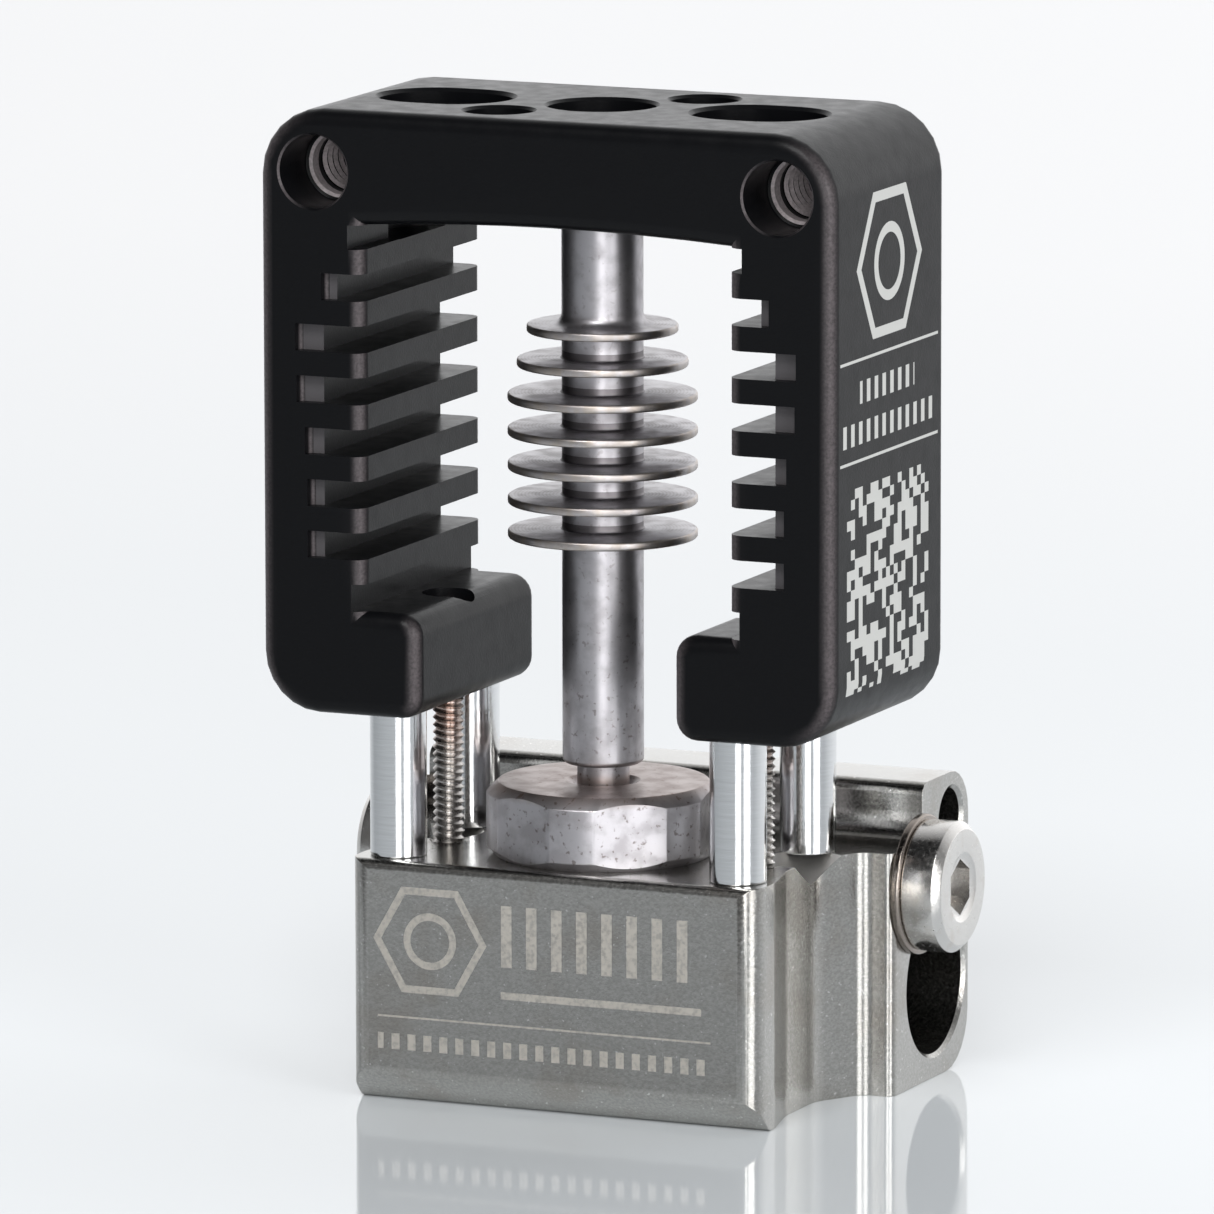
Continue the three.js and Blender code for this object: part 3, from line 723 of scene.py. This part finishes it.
# ---- Heat-sink frame ---------------------------------------------------------------------------
SLOT_ENDS = (8.5, 9.15, 9.75, 9.75, 9.75, 9.75, 9.75, 8.4)
FLARE_ENDS = (0, 9.65, 10.8, 10.75, 10.4, 10.3, 10.3, 0)
TEETH = 7
FIRST_TOOTH = 34.6
BAR_UNDERSIDE = 35.58
FOOT_INNER = 5.5
FLARE_DEPTH = 0.45
FAN_X, FAN_Z = 10.0, 37.65
FAN_MOUTH, FAN_BORE = 1.48, 1.25
FAN_DEPTH, FAN_LAND, FAN_END = 2.7, 0.75, 7.5
FAN_PITCH, FAN_TURNS, FAN_RIDGE = 0.5, 7, 0.17
SLEEVE_HOLE, INLET, INLET_MOUTH = 1.694, 2.19, 2.4
OBLONG_HALF_LENGTH, OBLONG_HALF_WIDTH, OBLONG_ROUND = 2.75, 2.25, 2.24
MOUNT_HOLE, MOUNT_OFFSET = 1.4, 3.1
SCREW_HOLE, HEAD_HOLE, HEAD_RECESS = 0.72, 1.07, 1.6
SET_HOLE = 1.25
# How far a cutter reaches past the face it opens.
PAST = 1
# The slot cutters stop this far short of the faces they would otherwise share.
SKIM = 0.004


def frame_outline(window):
    """The frame seen from the front, anticlockwise, with its radii."""
    w, top, low = HALF_WIDTH, FRAME_HIGH.z, FRAME_LOW.z
    across = [1 - k / 4 for k in range(9)]
    arch = [(window * a, BAR_UNDERSIDE + 0.28 * (1 - a ** 2), 0) for a in across]
    right = [(FOOT_INNER, FOOT_TOP, 0.9), (FOOT_INNER, low, 0.9), (w, low, 2.4), (w, top, 2.7)]
    left = [(-x, z, radius) for x, z, radius in reversed(right)]
    return right + left + [(-window, FOOT_TOP, 0)] + arch[::-1] + [(window, FOOT_TOP, 0)]


def slot_tools(wanted):
    """One cutter for each slot, with its wider front end."""
    tools = []
    near = wanted.window_half / MM - 0.05
    pitch, thickness = wanted.tooth_pitch / MM, wanted.tooth_thickness / MM
    for k, (end, flare) in enumerate(zip(SLOT_ENDS, FLARE_ENDS)):
        tooth_top = FIRST_TOOTH - pitch * k
        floor = tooth_top if k < TEETH else FOOT_TOP - SKIM
        roof = BAR_UNDERSIDE - SKIM if k == 0 else tooth_top + pitch - thickness
        front, back = -HALF_DEPTH - PAST, HALF_DEPTH + PAST
        step = -HALF_DEPTH + FLARE_DEPTH
        plan = [(near, front, 0), (max(flare, end), front, 0)]
        if flare > end:
            plan += [(flare, step, 0.2), (end, step, 0)]
        plan += [(end, back, 0), (near, back, 0)]
        for side, _ in SIDES:
            bm = bmesh.new()
            points = rounded(plan, 4)
            stitch(bm, [[(side * p.x, p.y, z) for p in points] for z in (floor, roof)])
            tools.append(bm)
    return tools


def along_y(x, y, z):
    """Turns a piece made up Z so that it runs along +Y from a point."""
    return Matrix.Translation((x, y, z)) @ Matrix.Rotation(-math.pi / 2, 4, "X")


def outward(side, x, y, z):
    """Turns a piece made up Z so that it runs outwards along X from a point on one side."""
    return Matrix.Translation((side * x, y, z)) @ Matrix.Rotation(side * math.pi / 2, 4, "Y")


def hole(radius, low, high, place=None, mouth=0.0):
    """A round cutter up Z, with a wider mouth at its top."""
    profile = [(0, low, 0), (radius, low, 0), (radius, high - mouth, 0), (radius + mouth, high, 0),
               (radius + mouth, high + PAST, 0), (0, high + PAST, 0)]
    return lathe(profile, 48, place)


def frame_tools():
    top, low, sleeve = FRAME_HIGH.z, FRAME_LOW.z, SLEEVE_HIGH.z
    under = BAR_UNDERSIDE - PAST
    tools = [lathe([(0, under, 0), (SLEEVE_HOLE, under, 0), (SLEEVE_HOLE, sleeve, 0),
                    (INLET, sleeve, 0), (INLET, top - 0.12, 0), (INLET_MOUTH, top + 0.09, 0),
                    (INLET_MOUTH, top + PAST, 0), (0, top + PAST, 0)], 64)]
    a, b = OBLONG_HALF_LENGTH, OBLONG_HALF_WIDTH
    oblong = [(x, y, OBLONG_ROUND) for x, y in ((-a, -b), (a, -b), (a, b), (-a, b))]
    flat = rounded(oblong, 12)
    wide = rounded(inset(oblong, -0.15), 12)
    for side, _ in SIDES:
        x = side * LONG_X
        bm = bmesh.new()
        heights = ((under, flat), (top - 0.15, flat), (top, wide), (top + PAST, wide))
        stitch(bm, [[(p.x + x, p.y, z) for p in ring] for z, ring in heights])
        tools.append(bm)
        corner = Matrix.Translation((side * MOUNT_OFFSET, side * MOUNT_OFFSET, 0))
        tools.append(hole(MOUNT_HOLE, under, top, corner, 0.12))
        seat = FOOT_TOP - HEAD_RECESS
        tools.append(lathe([(0, low - PAST, 0), (SCREW_HOLE, low - PAST, 0), (SCREW_HOLE, seat, 0),
                            (HEAD_HOLE, seat, 0), (HEAD_HOLE, FOOT_TOP + PAST, 0),
                            (0, FOOT_TOP + PAST, 0)], 48, Matrix.Translation((x, 0, 0))))
        for row in (-1, 1):
            tools.append(hole(TUBE_RADIUS + 0.05, low - PAST, TUBE_HIGH.z - PAST,
                              Matrix.Translation((side * TUBE_X, row * TUBE_Y, 0))))
        front = [(0, -PAST, 0), (1.56, -PAST, 0), (1.56, 0, 0), (FAN_MOUTH, 0.08, 0),
                 (FAN_MOUTH, FAN_DEPTH - 0.15, 0), (FAN_BORE, FAN_DEPTH, 0),
                 (FAN_BORE, FAN_END, 0), (0, FAN_END, 0)]
        tools.append(lathe(front, 64, along_y(side * FAN_X, -HALF_DEPTH, FAN_Z)))
    return tools


class HOTEND_OT_heat_sink_frame(bpy.types.Operator):
    """Make the slotted frame with its threaded fan holes"""
    bl_idname = "hotend.heat_sink_frame"
    bl_label = "Heat-sink frame"

    def execute(self, context):
        wanted = context.scene.hotend_frame
        material = black_anodised()
        outline = frame_outline(wanted.window_half / MM)
        blank = slab(outline, -HALF_DEPTH, HALF_DEPTH, wanted.edge_round / MM,
                     lambda a, b, depth: (a, depth, b))
        thing = rough_object("frame", blank)
        combine(thing, slot_tools(wanted), "DIFFERENCE")
        combine(thing, frame_tools(), "DIFFERENCE")
        bore = hole(SET_HOLE, 0, HALF_DEPTH + 1, along_y(0, 0, SET_Z))
        combine(thing, [bore], "DIFFERENCE")
        for side, _ in SIDES:
            place = along_y(side * FAN_X, -HALF_DEPTH + FAN_DEPTH + FAN_LAND, FAN_Z)
            ridge = thread(FAN_BORE, FAN_PITCH, FAN_TURNS, FAN_RIDGE, material, place)
            join(thing, ridge)
        finish(thing, material, "black_anodised", "root", "heat_sink_frame")
        return {"FINISHED"}


# ---- Heat break --------------------------------------------------------------------------------
FIN_TOP = 31.38
FIN_RADII = (3.03, 3.43, 3.8, 3.8, 3.8, 3.8, 3.8)
# Radius of the fins and the heights between which it holds, lowest band first.
FIN_BANDS = ((3.8, 22.7, 29.0), (3.43, 29.5, 30.2), (3.03, 30.9, 31.6))
SLEEVE_RADIUS, SLEEVE_BORE = 1.634, 0.95
NECK_RADIUS, NECK_BORE = 1.05, 0.85
SOCKET_RADIUS, SOCKET_DEPTH = 1.1, 1.9
BASE_RADIUS, BASE_FLATS, STUB_RADIUS = 4.7, 8.94, 2.4


def sleeve_profile(wanted):
    r, low, high = SLEEVE_RADIUS, SLEEVE_LOW.z, SLEEVE_HIGH.z
    pitch, thick, rim = (v / MM for v in (wanted.fin_pitch, wanted.fin_thickness, wanted.fin_rim))
    grip = low + SOCKET_DEPTH
    profile = [(SLEEVE_BORE, grip, 0), (SOCKET_RADIUS, grip, 0), (SOCKET_RADIUS, low, 0),
               (r, low, 0.22)]
    for k, radius in reversed(tuple(enumerate(FIN_RADII))):
        top = FIN_TOP - pitch * k
        profile += [(r, top - thick, 0.12), (radius, top - thick, rim), (radius, top, rim),
                    (r, top, 0.45 if k == 0 else 0.12)]
    return profile + [(r, high, 0.1), (SLEEVE_BORE, high, 0)]


class HOTEND_OT_heat_break(bpy.types.Operator):
    """Make the finned sleeve, the thin neck and the hexagonal base"""
    bl_idname = "hotend.heat_break"
    bl_label = "Heat break"

    def execute(self, context):
        wanted = context.scene.hotend_break
        steel = heat_break_steel()
        sleeve = rough_object("sleeve", lathe(sleeve_profile(wanted), 96))
        finish(sleeve, steel, "heat_break_steel", "root", "cold_sleeve", smooth=50)
        low, high = BASE_HIGH.z - SOCKET_DEPTH, SLEEVE_LOW.z + SOCKET_DEPTH
        neck = rough_object("neck", lathe([(NECK_BORE, low, 0), (NECK_RADIUS, low, 0),
                                           (NECK_RADIUS, high, 0), (NECK_BORE, high, 0)], 48))
        finish(neck, steel, "heat_break_steel", "root", "heat_break_tube")
        self.base(wanted, steel)
        return {"FINISHED"}

    def base(self, wanted, steel):
        low, top, r = BASE_LOW.z, BASE_HIGH.z, BASE_RADIUS
        floor = top - SOCKET_DEPTH
        boss = lathe([(NECK_BORE, low, 0), (STUB_RADIUS, low, 0.1), (STUB_RADIUS, BLOCK_TOP, 0),
                      (r - 0.36, BLOCK_TOP, 0), (r, BLOCK_TOP + 0.36, 0.1), (r, top - 0.45, 0.12),
                      (r - 0.5, top, 0.12), (1.5, top, 0.08), (SOCKET_RADIUS, top - 0.4, 0),
                      (SOCKET_RADIUS, floor, 0), (NECK_BORE, floor, 0)], 120)
        thing = rough_object("base", boss)
        hexagon = prism(BASE_FLATS, low - PAST, top + PAST, wanted.base_turn + math.pi / 6)
        combine(thing, [hexagon], "INTERSECT")
        soften(thing, 0.05, 2)
        finish(thing, steel, "heat_break_steel", "root", "heat_break_base", smooth=25)


# ---- Hot block ---------------------------------------------------------------------------------
RELIEF_X, RELIEF_Y, RELIEF_RADIUS, RELIEF_DEPTH = 7.95, 1.7, 1.8, 1.25
# Y, Z, radius and segments of the heater's bore and the sensor's.
LONG_BORES = ((8.6, 3.95, 3.0, 96), (10.15, 10.4, 1.2, 64))
BORE_MOUTH = 0.15
CLAMP_HOLE, CLAMP_HOLE_DEPTH = 1.5, 6.0
LONG_HOLE, LONG_HOLE_DEPTH = 0.7, 5.9


def block_plan():
    """The block from above, anticlockwise, with its radii."""
    right = [(8.9, BLOCK_FRONT, 0.9), (8.9, -3.4, 1.5), (8.35, -1.0, 2.5), (8.35, 2.0, 2.0),
             (9.6, 4.05, 0.8), (WING, 4.05, 0.4), (WING, BLOCK_BACK + 1, 0)]
    return right + [(-x, y, r) for x, y, r in reversed(right)]


def block_end(bevel):
    """The block from its right-hand end, anticlockwise in (Y, Z)."""
    return [(BLOCK_FRONT, bevel, 0.7), (BLOCK_FRONT + bevel, 0, 0.5), (BLOCK_BACK, 0, 2.3),
            (BLOCK_BACK, BLOCK_HIGH.z, 1.9), (7.1, BLOCK_HIGH.z, 0.5), (7.1, BLOCK_TOP, 1.2),
            (BLOCK_FRONT, BLOCK_TOP, 0.4)]


def block_tools():
    wide = WING + 1
    tools = [
        lathe([(0, -PAST, 0), (2.9, -PAST, 0), (2.9, 0, 0), (2.55, 0.35, 0), (2.55, 5.1, 0),
               (2.45, 5.1, 0), (2.45, BLOCK_TOP + PAST, 0), (0, BLOCK_TOP + PAST, 0)], 64),
    ]
    for y, z, radius, segments in LONG_BORES:
        mouth = BORE_MOUTH
        profile = [(0, -wide, 0), (radius + mouth, -wide, 0), (radius + mouth, -WING, 0),
                   (radius, -WING + mouth, 0), (radius, WING - mouth, 0), (radius + mouth, WING, 0),
                   (radius + mouth, wide, 0), (0, wide, 0)]
        tools.append(lathe(profile, segments, outward(1, 0, y, z)))
    for side, _ in SIDES:
        tools.append(hole(LONG_HOLE, BLOCK_TOP - LONG_HOLE_DEPTH, BLOCK_TOP,
                          Matrix.Translation((side * LONG_X, 0, 0)), 0.1))
        relief = [(0, BLOCK_TOP - RELIEF_DEPTH, 0), (RELIEF_RADIUS, BLOCK_TOP, 0),
                  (RELIEF_RADIUS, BLOCK_TOP + PAST, 0), (0, BLOCK_TOP + PAST, 0)]
        tools.append(lathe(relief, 64, Matrix.Translation((side * RELIEF_X, RELIEF_Y, 0))))
        tools.append(hole(CLAMP_HOLE, -CLAMP_HOLE_DEPTH, 0,
                          outward(side, WING, CLAMP_Y, CLAMP_Z), BORE_MOUTH))
    return tools


class HOTEND_OT_hot_block(bpy.types.Operator):
    """Make the plated block with its bores, relief cuts and rounded edges"""
    bl_idname = "hotend.hot_block"
    bl_label = "Hot block"

    def execute(self, context):
        wanted = context.scene.hotend_block
        plan = slab(block_plan(), -1, BLOCK_HIGH.z + 1, 0, lambda a, b, depth: (a, b, depth))
        end = slab(block_end(wanted.front_bevel / MM), -WING - 1, WING + 1, 0,
                   lambda a, b, depth: (depth, a, b))
        thing = rough_object("block", plan)
        combine(thing, [end], "INTERSECT")
        soften(thing, wanted.edge_round / MM, 4, 38)
        combine(thing, block_tools(), "DIFFERENCE")
        finish(thing, nickel_plate(), "nickel_plate", "root", "hot_block", smooth=30)
        return {"FINISHED"}


# ---- Tubes and fixings -----------------------------------------------------------------------
TUBE_BORE = 0.9
WASHER_BORE = 1.53
SET_PITCH = 0.45


class HOTEND_OT_standoff_tubes(bpy.types.Operator):
    """Make the four thin tubes between the block and the frame"""
    bl_idname = "hotend.standoff_tubes"
    bl_label = "Standoff tubes"

    def execute(self, context):
        for side, hand in SIDES:
            for row, end in ((-1, "front"), (1, "back")):
                low, high = TUBE_LOW.z, TUBE_HIGH.z
                profile = [(TUBE_BORE, low, 0), (TUBE_RADIUS, low, 0.06),
                           (TUBE_RADIUS, high, 0.06), (TUBE_BORE, high, 0)]
                place = Matrix.Translation((side * TUBE_X, row * TUBE_Y, 0))
                wall = lathe(profile, context.scene.hotend_fixing.segments, place)
                tube = rough_object(f"tube_{end}_{hand}", wall)
                finish(tube, polished_steel(), "polished_steel", "root",
                       f"standoff_tube_{end}_{hand}")
        return {"FINISHED"}


class HOTEND_OT_long_screws(bpy.types.Operator):
    """Make the two long threaded screws"""
    bl_idname = "hotend.long_screws"
    bl_label = "Long screws"

    def execute(self, context):
        wanted = context.scene.hotend_fixing
        pitch = wanted.long_pitch / MM
        low, high = LONG_LOW.z, LONG_HIGH.z
        shoulder = high - 1.1
        for side, hand in SIDES:
            place = Matrix.Translation((side * LONG_X, 0, 0))
            body = lathe([(0, low, 0), (0.4, low, 0), (0.52, low + 0.12, 0), (0.52, shoulder, 0),
                          (1.0, shoulder, 0), (1.0, high, 0.15), (0, high, 0)],
                         wanted.segments, place)
            screw = rough_object(f"long_screw_piece_{hand}", body)
            socket = prism(1.0, high - 0.55, high + 1, 0, (side * LONG_X, 0, 0))
            combine(screw, [socket], "DIFFERENCE")
            turns = (shoulder - low - 0.4) / pitch
            start = Matrix.Translation((side * LONG_X, 0, low + 0.2))
            join(screw, thread(0.5, pitch, turns, 0.14, dark_steel(), start))
            finish(screw, dark_steel(), "dark_steel", f"long_screw_{hand}",
                   f"long_screw_{hand}")
        return {"FINISHED"}


class HOTEND_OT_clamp_fixings(bpy.types.Operator):
    """Make the low-headed screw and washer at each end of the block"""
    bl_idname = "hotend.clamp_fixings"
    bl_label = "Clamp screws and washers"

    def execute(self, context):
        wanted = context.scene.hotend_fixing
        pitch = wanted.clamp_pitch / MM
        seat = WASHER_HIGH.x - WING
        top = CLAMP_HIGH.x - WING
        tip = CLAMP_LOW.x - WING
        washer_radius = (WASHER_HIGH.z - WASHER_LOW.z) / 2
        for side, hand in SIDES:
            place = outward(side, WING, CLAMP_Y, CLAMP_Z)
            r = CLAMP_RADIUS
            body = lathe([(0, tip, 0), (1.1, tip, 0), (1.25, tip + 0.2, 0), (1.25, seat, 0),
                          (r, seat, 0.1), (r, top - 0.3, 0.08), (r - 0.3, top, 0.08),
                          (1.42, top, 0.05), (1.2, top - 0.12, 0), (0, top - 0.12, 0)], 96)
            screw = rough_object(f"clamp_screw_piece_{hand}", body)
            combine(screw, [prism(2.0, top - 1.0, top + 1)], "DIFFERENCE")
            turns = (seat - tip - 0.5) / pitch
            start = Matrix.Translation((0, 0, tip + 0.2))
            join(screw, thread(1.24, pitch, turns, 0.2, plated_steel(), start))
            screw.data.transform(place)
            finish(screw, plated_steel(), "plated_steel", f"clamp_screw_{hand}",
                   f"clamp_screw_{hand}")
            ring = lathe([(WASHER_BORE, 0, 0), (washer_radius, 0, 0.06),
                          (washer_radius, seat, 0.1), (WASHER_BORE, seat, 0.05)], 96, place)
            washer = rough_object(f"washer_{hand}", ring)
            finish(washer, plated_steel(), "plated_steel", f"clamp_washer_{hand}",
                   f"clamp_washer_{hand}")
        return {"FINISHED"}


class HOTEND_OT_set_screw(bpy.types.Operator):
    """Make the set screw that bears on the sleeve"""
    bl_idname = "hotend.set_screw"
    bl_label = "Set screw"

    def execute(self, context):
        length = SET_HIGH.y - SET_LOW.y
        r = SET_RADIUS
        body = lathe([(0, 0, 0), (r - 0.4, 0, 0), (r - 0.15, 0.3, 0), (r - 0.15, length - 0.1, 0),
                      (r - 0.25, length, 0), (0, length, 0)], 48)
        screw = rough_object("set_screw_piece", body)
        combine(screw, [prism(1.27, length - 1.2, length + 1)], "DIFFERENCE")
        turns = (length - 0.7) / SET_PITCH
        start = Matrix.Translation((0, 0, 0.4))
        join(screw, thread(r - 0.16, SET_PITCH, turns, 0.15, dark_steel(), start))
        screw.data.transform(along_y(0, SET_LOW.y - AXIS_Y, SET_Z))
        finish(screw, dark_steel(), "dark_steel", "sleeve_set_screw", "sleeve_set_screw")
        return {"FINISHED"}


# ---- Stage -----------------------------------------------------------------------------------
FLOOR_REACH = 3.0
FLOOR_ROUGHNESS = 0.06
BACKDROP_FROM, BACKDROP_TO = 0.10, 0.22
# Name, size, watts and place of each soft box, in metres; all of them look at LIT_POINT.
SOFT_BOXES = (
    ("key_box", (0.22, 0.42), 1.55, (0.26, -0.60, 0.10)),
    ("side_box", (0.25, 0.40), 1.70, (0.50, -0.30, 0.12)),
    ("high_box", (0.30, 0.25), 2.15, (0.05, -0.45, 0.50)),
)
LIT_POINT = (0, 0, 0.022)
# The air's strength is the sum of these slopes along their axes, each left out below zero.
AIR_SLOPES = (("Y", 1.50), ("X", 0.25), ("Y", -0.16))
AIR_COLOUR = (0.985, 0.99, 1.0, 1)
CAMERA_ANGLES = (23.741, 9.703, -0.103)
CAMERA_PLACE = (0.205233, -0.466236, 0.107005)
CAMERA_LENS = 383.4


def soft_box(name, size, power, place, target):
    """A large soft light that looks at a point."""
    data = bpy.data.lights.new(name, "AREA")
    data.shape = "RECTANGLE"
    data.size, data.size_y = size
    data.energy = power
    lamp = bpy.data.objects.new(name, data)
    lamp.location = place
    lamp.rotation_euler = (Vector(target) - Vector(place)).to_track_quat("-Z", "Y").to_euler()
    lamp.visible_camera = False
    bpy.context.scene.collection.objects.link(lamp)


def flat_floor(wanted):
    """A wide level floor: pale about the object and brighter far behind."""
    bm = bmesh.new()
    bmesh.ops.create_circle(bm, cap_ends=True, segments=96, radius=FLOOR_REACH)
    mesh = bpy.data.meshes.new("floor")
    bm.to_mesh(mesh)
    bm.free()
    floor = bpy.data.objects.new("floor", mesh)
    bpy.context.scene.collection.objects.link(floor)
    look = Finish("pale_floor", wanted.floor, NOT_METAL, FLOOR_ROUGHNESS)
    look.tint(look.spread(look.y, BACKDROP_FROM, BACKDROP_TO, 0, 1), wanted.backdrop)
    floor.data.materials.append(look.done())


def studio_air():
    """Air that is brightest behind the object, dimmer to its right and dimmest in front."""
    world = bpy.data.worlds.new("studio")
    bpy.context.scene.world = world
    world.use_nodes = True
    tree = world.node_tree

    def maths(operation, *terms):
        node = tree.nodes.new("ShaderNodeMath")
        node.operation = operation
        for socket, term in zip(node.inputs, terms):
            if isinstance(term, float):
                socket.default_value = term
            else:
                tree.links.new(term, socket)
        return node.outputs[0]

    axes = tree.nodes.new("ShaderNodeSeparateXYZ")
    tree.links.new(tree.nodes.new("ShaderNodeTexCoord").outputs["Generated"], axes.inputs[0])
    total = 0.0
    for axis, slope in AIR_SLOPES:
        part = maths("MAXIMUM", maths("MULTIPLY", axes.outputs[axis], slope), 0.0)
        total = maths("ADD", part, total)
    background = tree.nodes["Background"].inputs
    tree.links.new(total, background["Strength"])
    background["Color"].default_value = AIR_COLOUR


def camera():
    """A long lens, a little above the object and to its right."""
    azimuth, pitch, roll = (math.radians(angle) for angle in CAMERA_ANGLES)
    forward = Vector((-math.sin(azimuth) * math.cos(pitch), math.cos(azimuth) * math.cos(pitch),
                      -math.sin(pitch)))
    level = Vector((math.cos(azimuth), math.sin(azimuth), 0))
    above = level.cross(forward)
    right = level * math.cos(roll) + above * math.sin(roll)
    up = above * math.cos(roll) - level * math.sin(roll)
    data = bpy.data.cameras.new("camera")
    data.sensor_width = 36
    data.lens = CAMERA_LENS
    data.clip_start = 0.01
    eye = bpy.data.objects.new("camera", data)
    turn = Matrix((right, up, -forward)).transposed().to_4x4()
    place = Vector(CAMERA_PLACE) + Vector((0, AXIS_Y * MM, 0))
    eye.matrix_world = Matrix.Translation(place) @ turn
    bpy.context.scene.collection.objects.link(eye)
    bpy.context.scene.camera = eye


class HOTEND_OT_stage(bpy.types.Operator):
    """Set up the pale floor, soft lights and camera"""
    bl_idname = "hotend.stage"
    bl_label = "Stage"

    def execute(self, context):
        wanted = context.scene.hotend_stage
        context.scene.view_settings.view_transform = "Standard"
        studio_air()
        flat_floor(wanted)
        for name, size, power, place in SOFT_BOXES:
            soft_box(name, size, power * wanted.light, place, LIT_POINT)
        camera()
        return {"FINISHED"}


# ---- Panel and registration ------------------------------------------------------------------
GROUPS = (
    ("hotend_frame", HotendFrameSettings),
    ("hotend_break", HotendBreakSettings),
    ("hotend_block", HotendBlockSettings),
    ("hotend_fixing", HotendFixingSettings),
    ("hotend_stage", HotendStageSettings),
)
STEPS = (
    HOTEND_OT_stage, HOTEND_OT_heat_sink_frame, HOTEND_OT_heat_break, HOTEND_OT_hot_block,
    HOTEND_OT_standoff_tubes, HOTEND_OT_long_screws, HOTEND_OT_clamp_fixings, HOTEND_OT_set_screw,
)


class HOTEND_PT_pieces(bpy.types.Panel):
    """Lists the pieces and their settings"""
    bl_idname = "HOTEND_PT_pieces"
    bl_label = "Hotend"
    bl_space_type = "VIEW_3D"
    bl_region_type = "UI"
    bl_category = "Hotend"

    def draw(self, context):
        for step in STEPS:
            self.layout.operator(step.bl_idname)
        for name, group in GROUPS:
            box = self.layout.box()
            for field in group.__annotations__:
                box.prop(getattr(context.scene, name), field)


def register():
    for _, group in GROUPS:
        bpy.utils.register_class(group)
    for cls in (*STEPS, HOTEND_PT_pieces):
        bpy.utils.register_class(cls)
    for name, group in GROUPS:
        setattr(bpy.types.Scene, name, PointerProperty(type=group))


def unregister():
    for name, _ in GROUPS:
        delattr(bpy.types.Scene, name)
    for cls in (HOTEND_PT_pieces, *reversed(STEPS)):
        bpy.utils.unregister_class(cls)
    for _, group in GROUPS:
        bpy.utils.unregister_class(group)


def main():
    register()
    for step in STEPS:
        group, name = step.bl_idname.split(".")
        getattr(getattr(bpy.ops, group), name)()


if __name__ == "__main__":
    main()
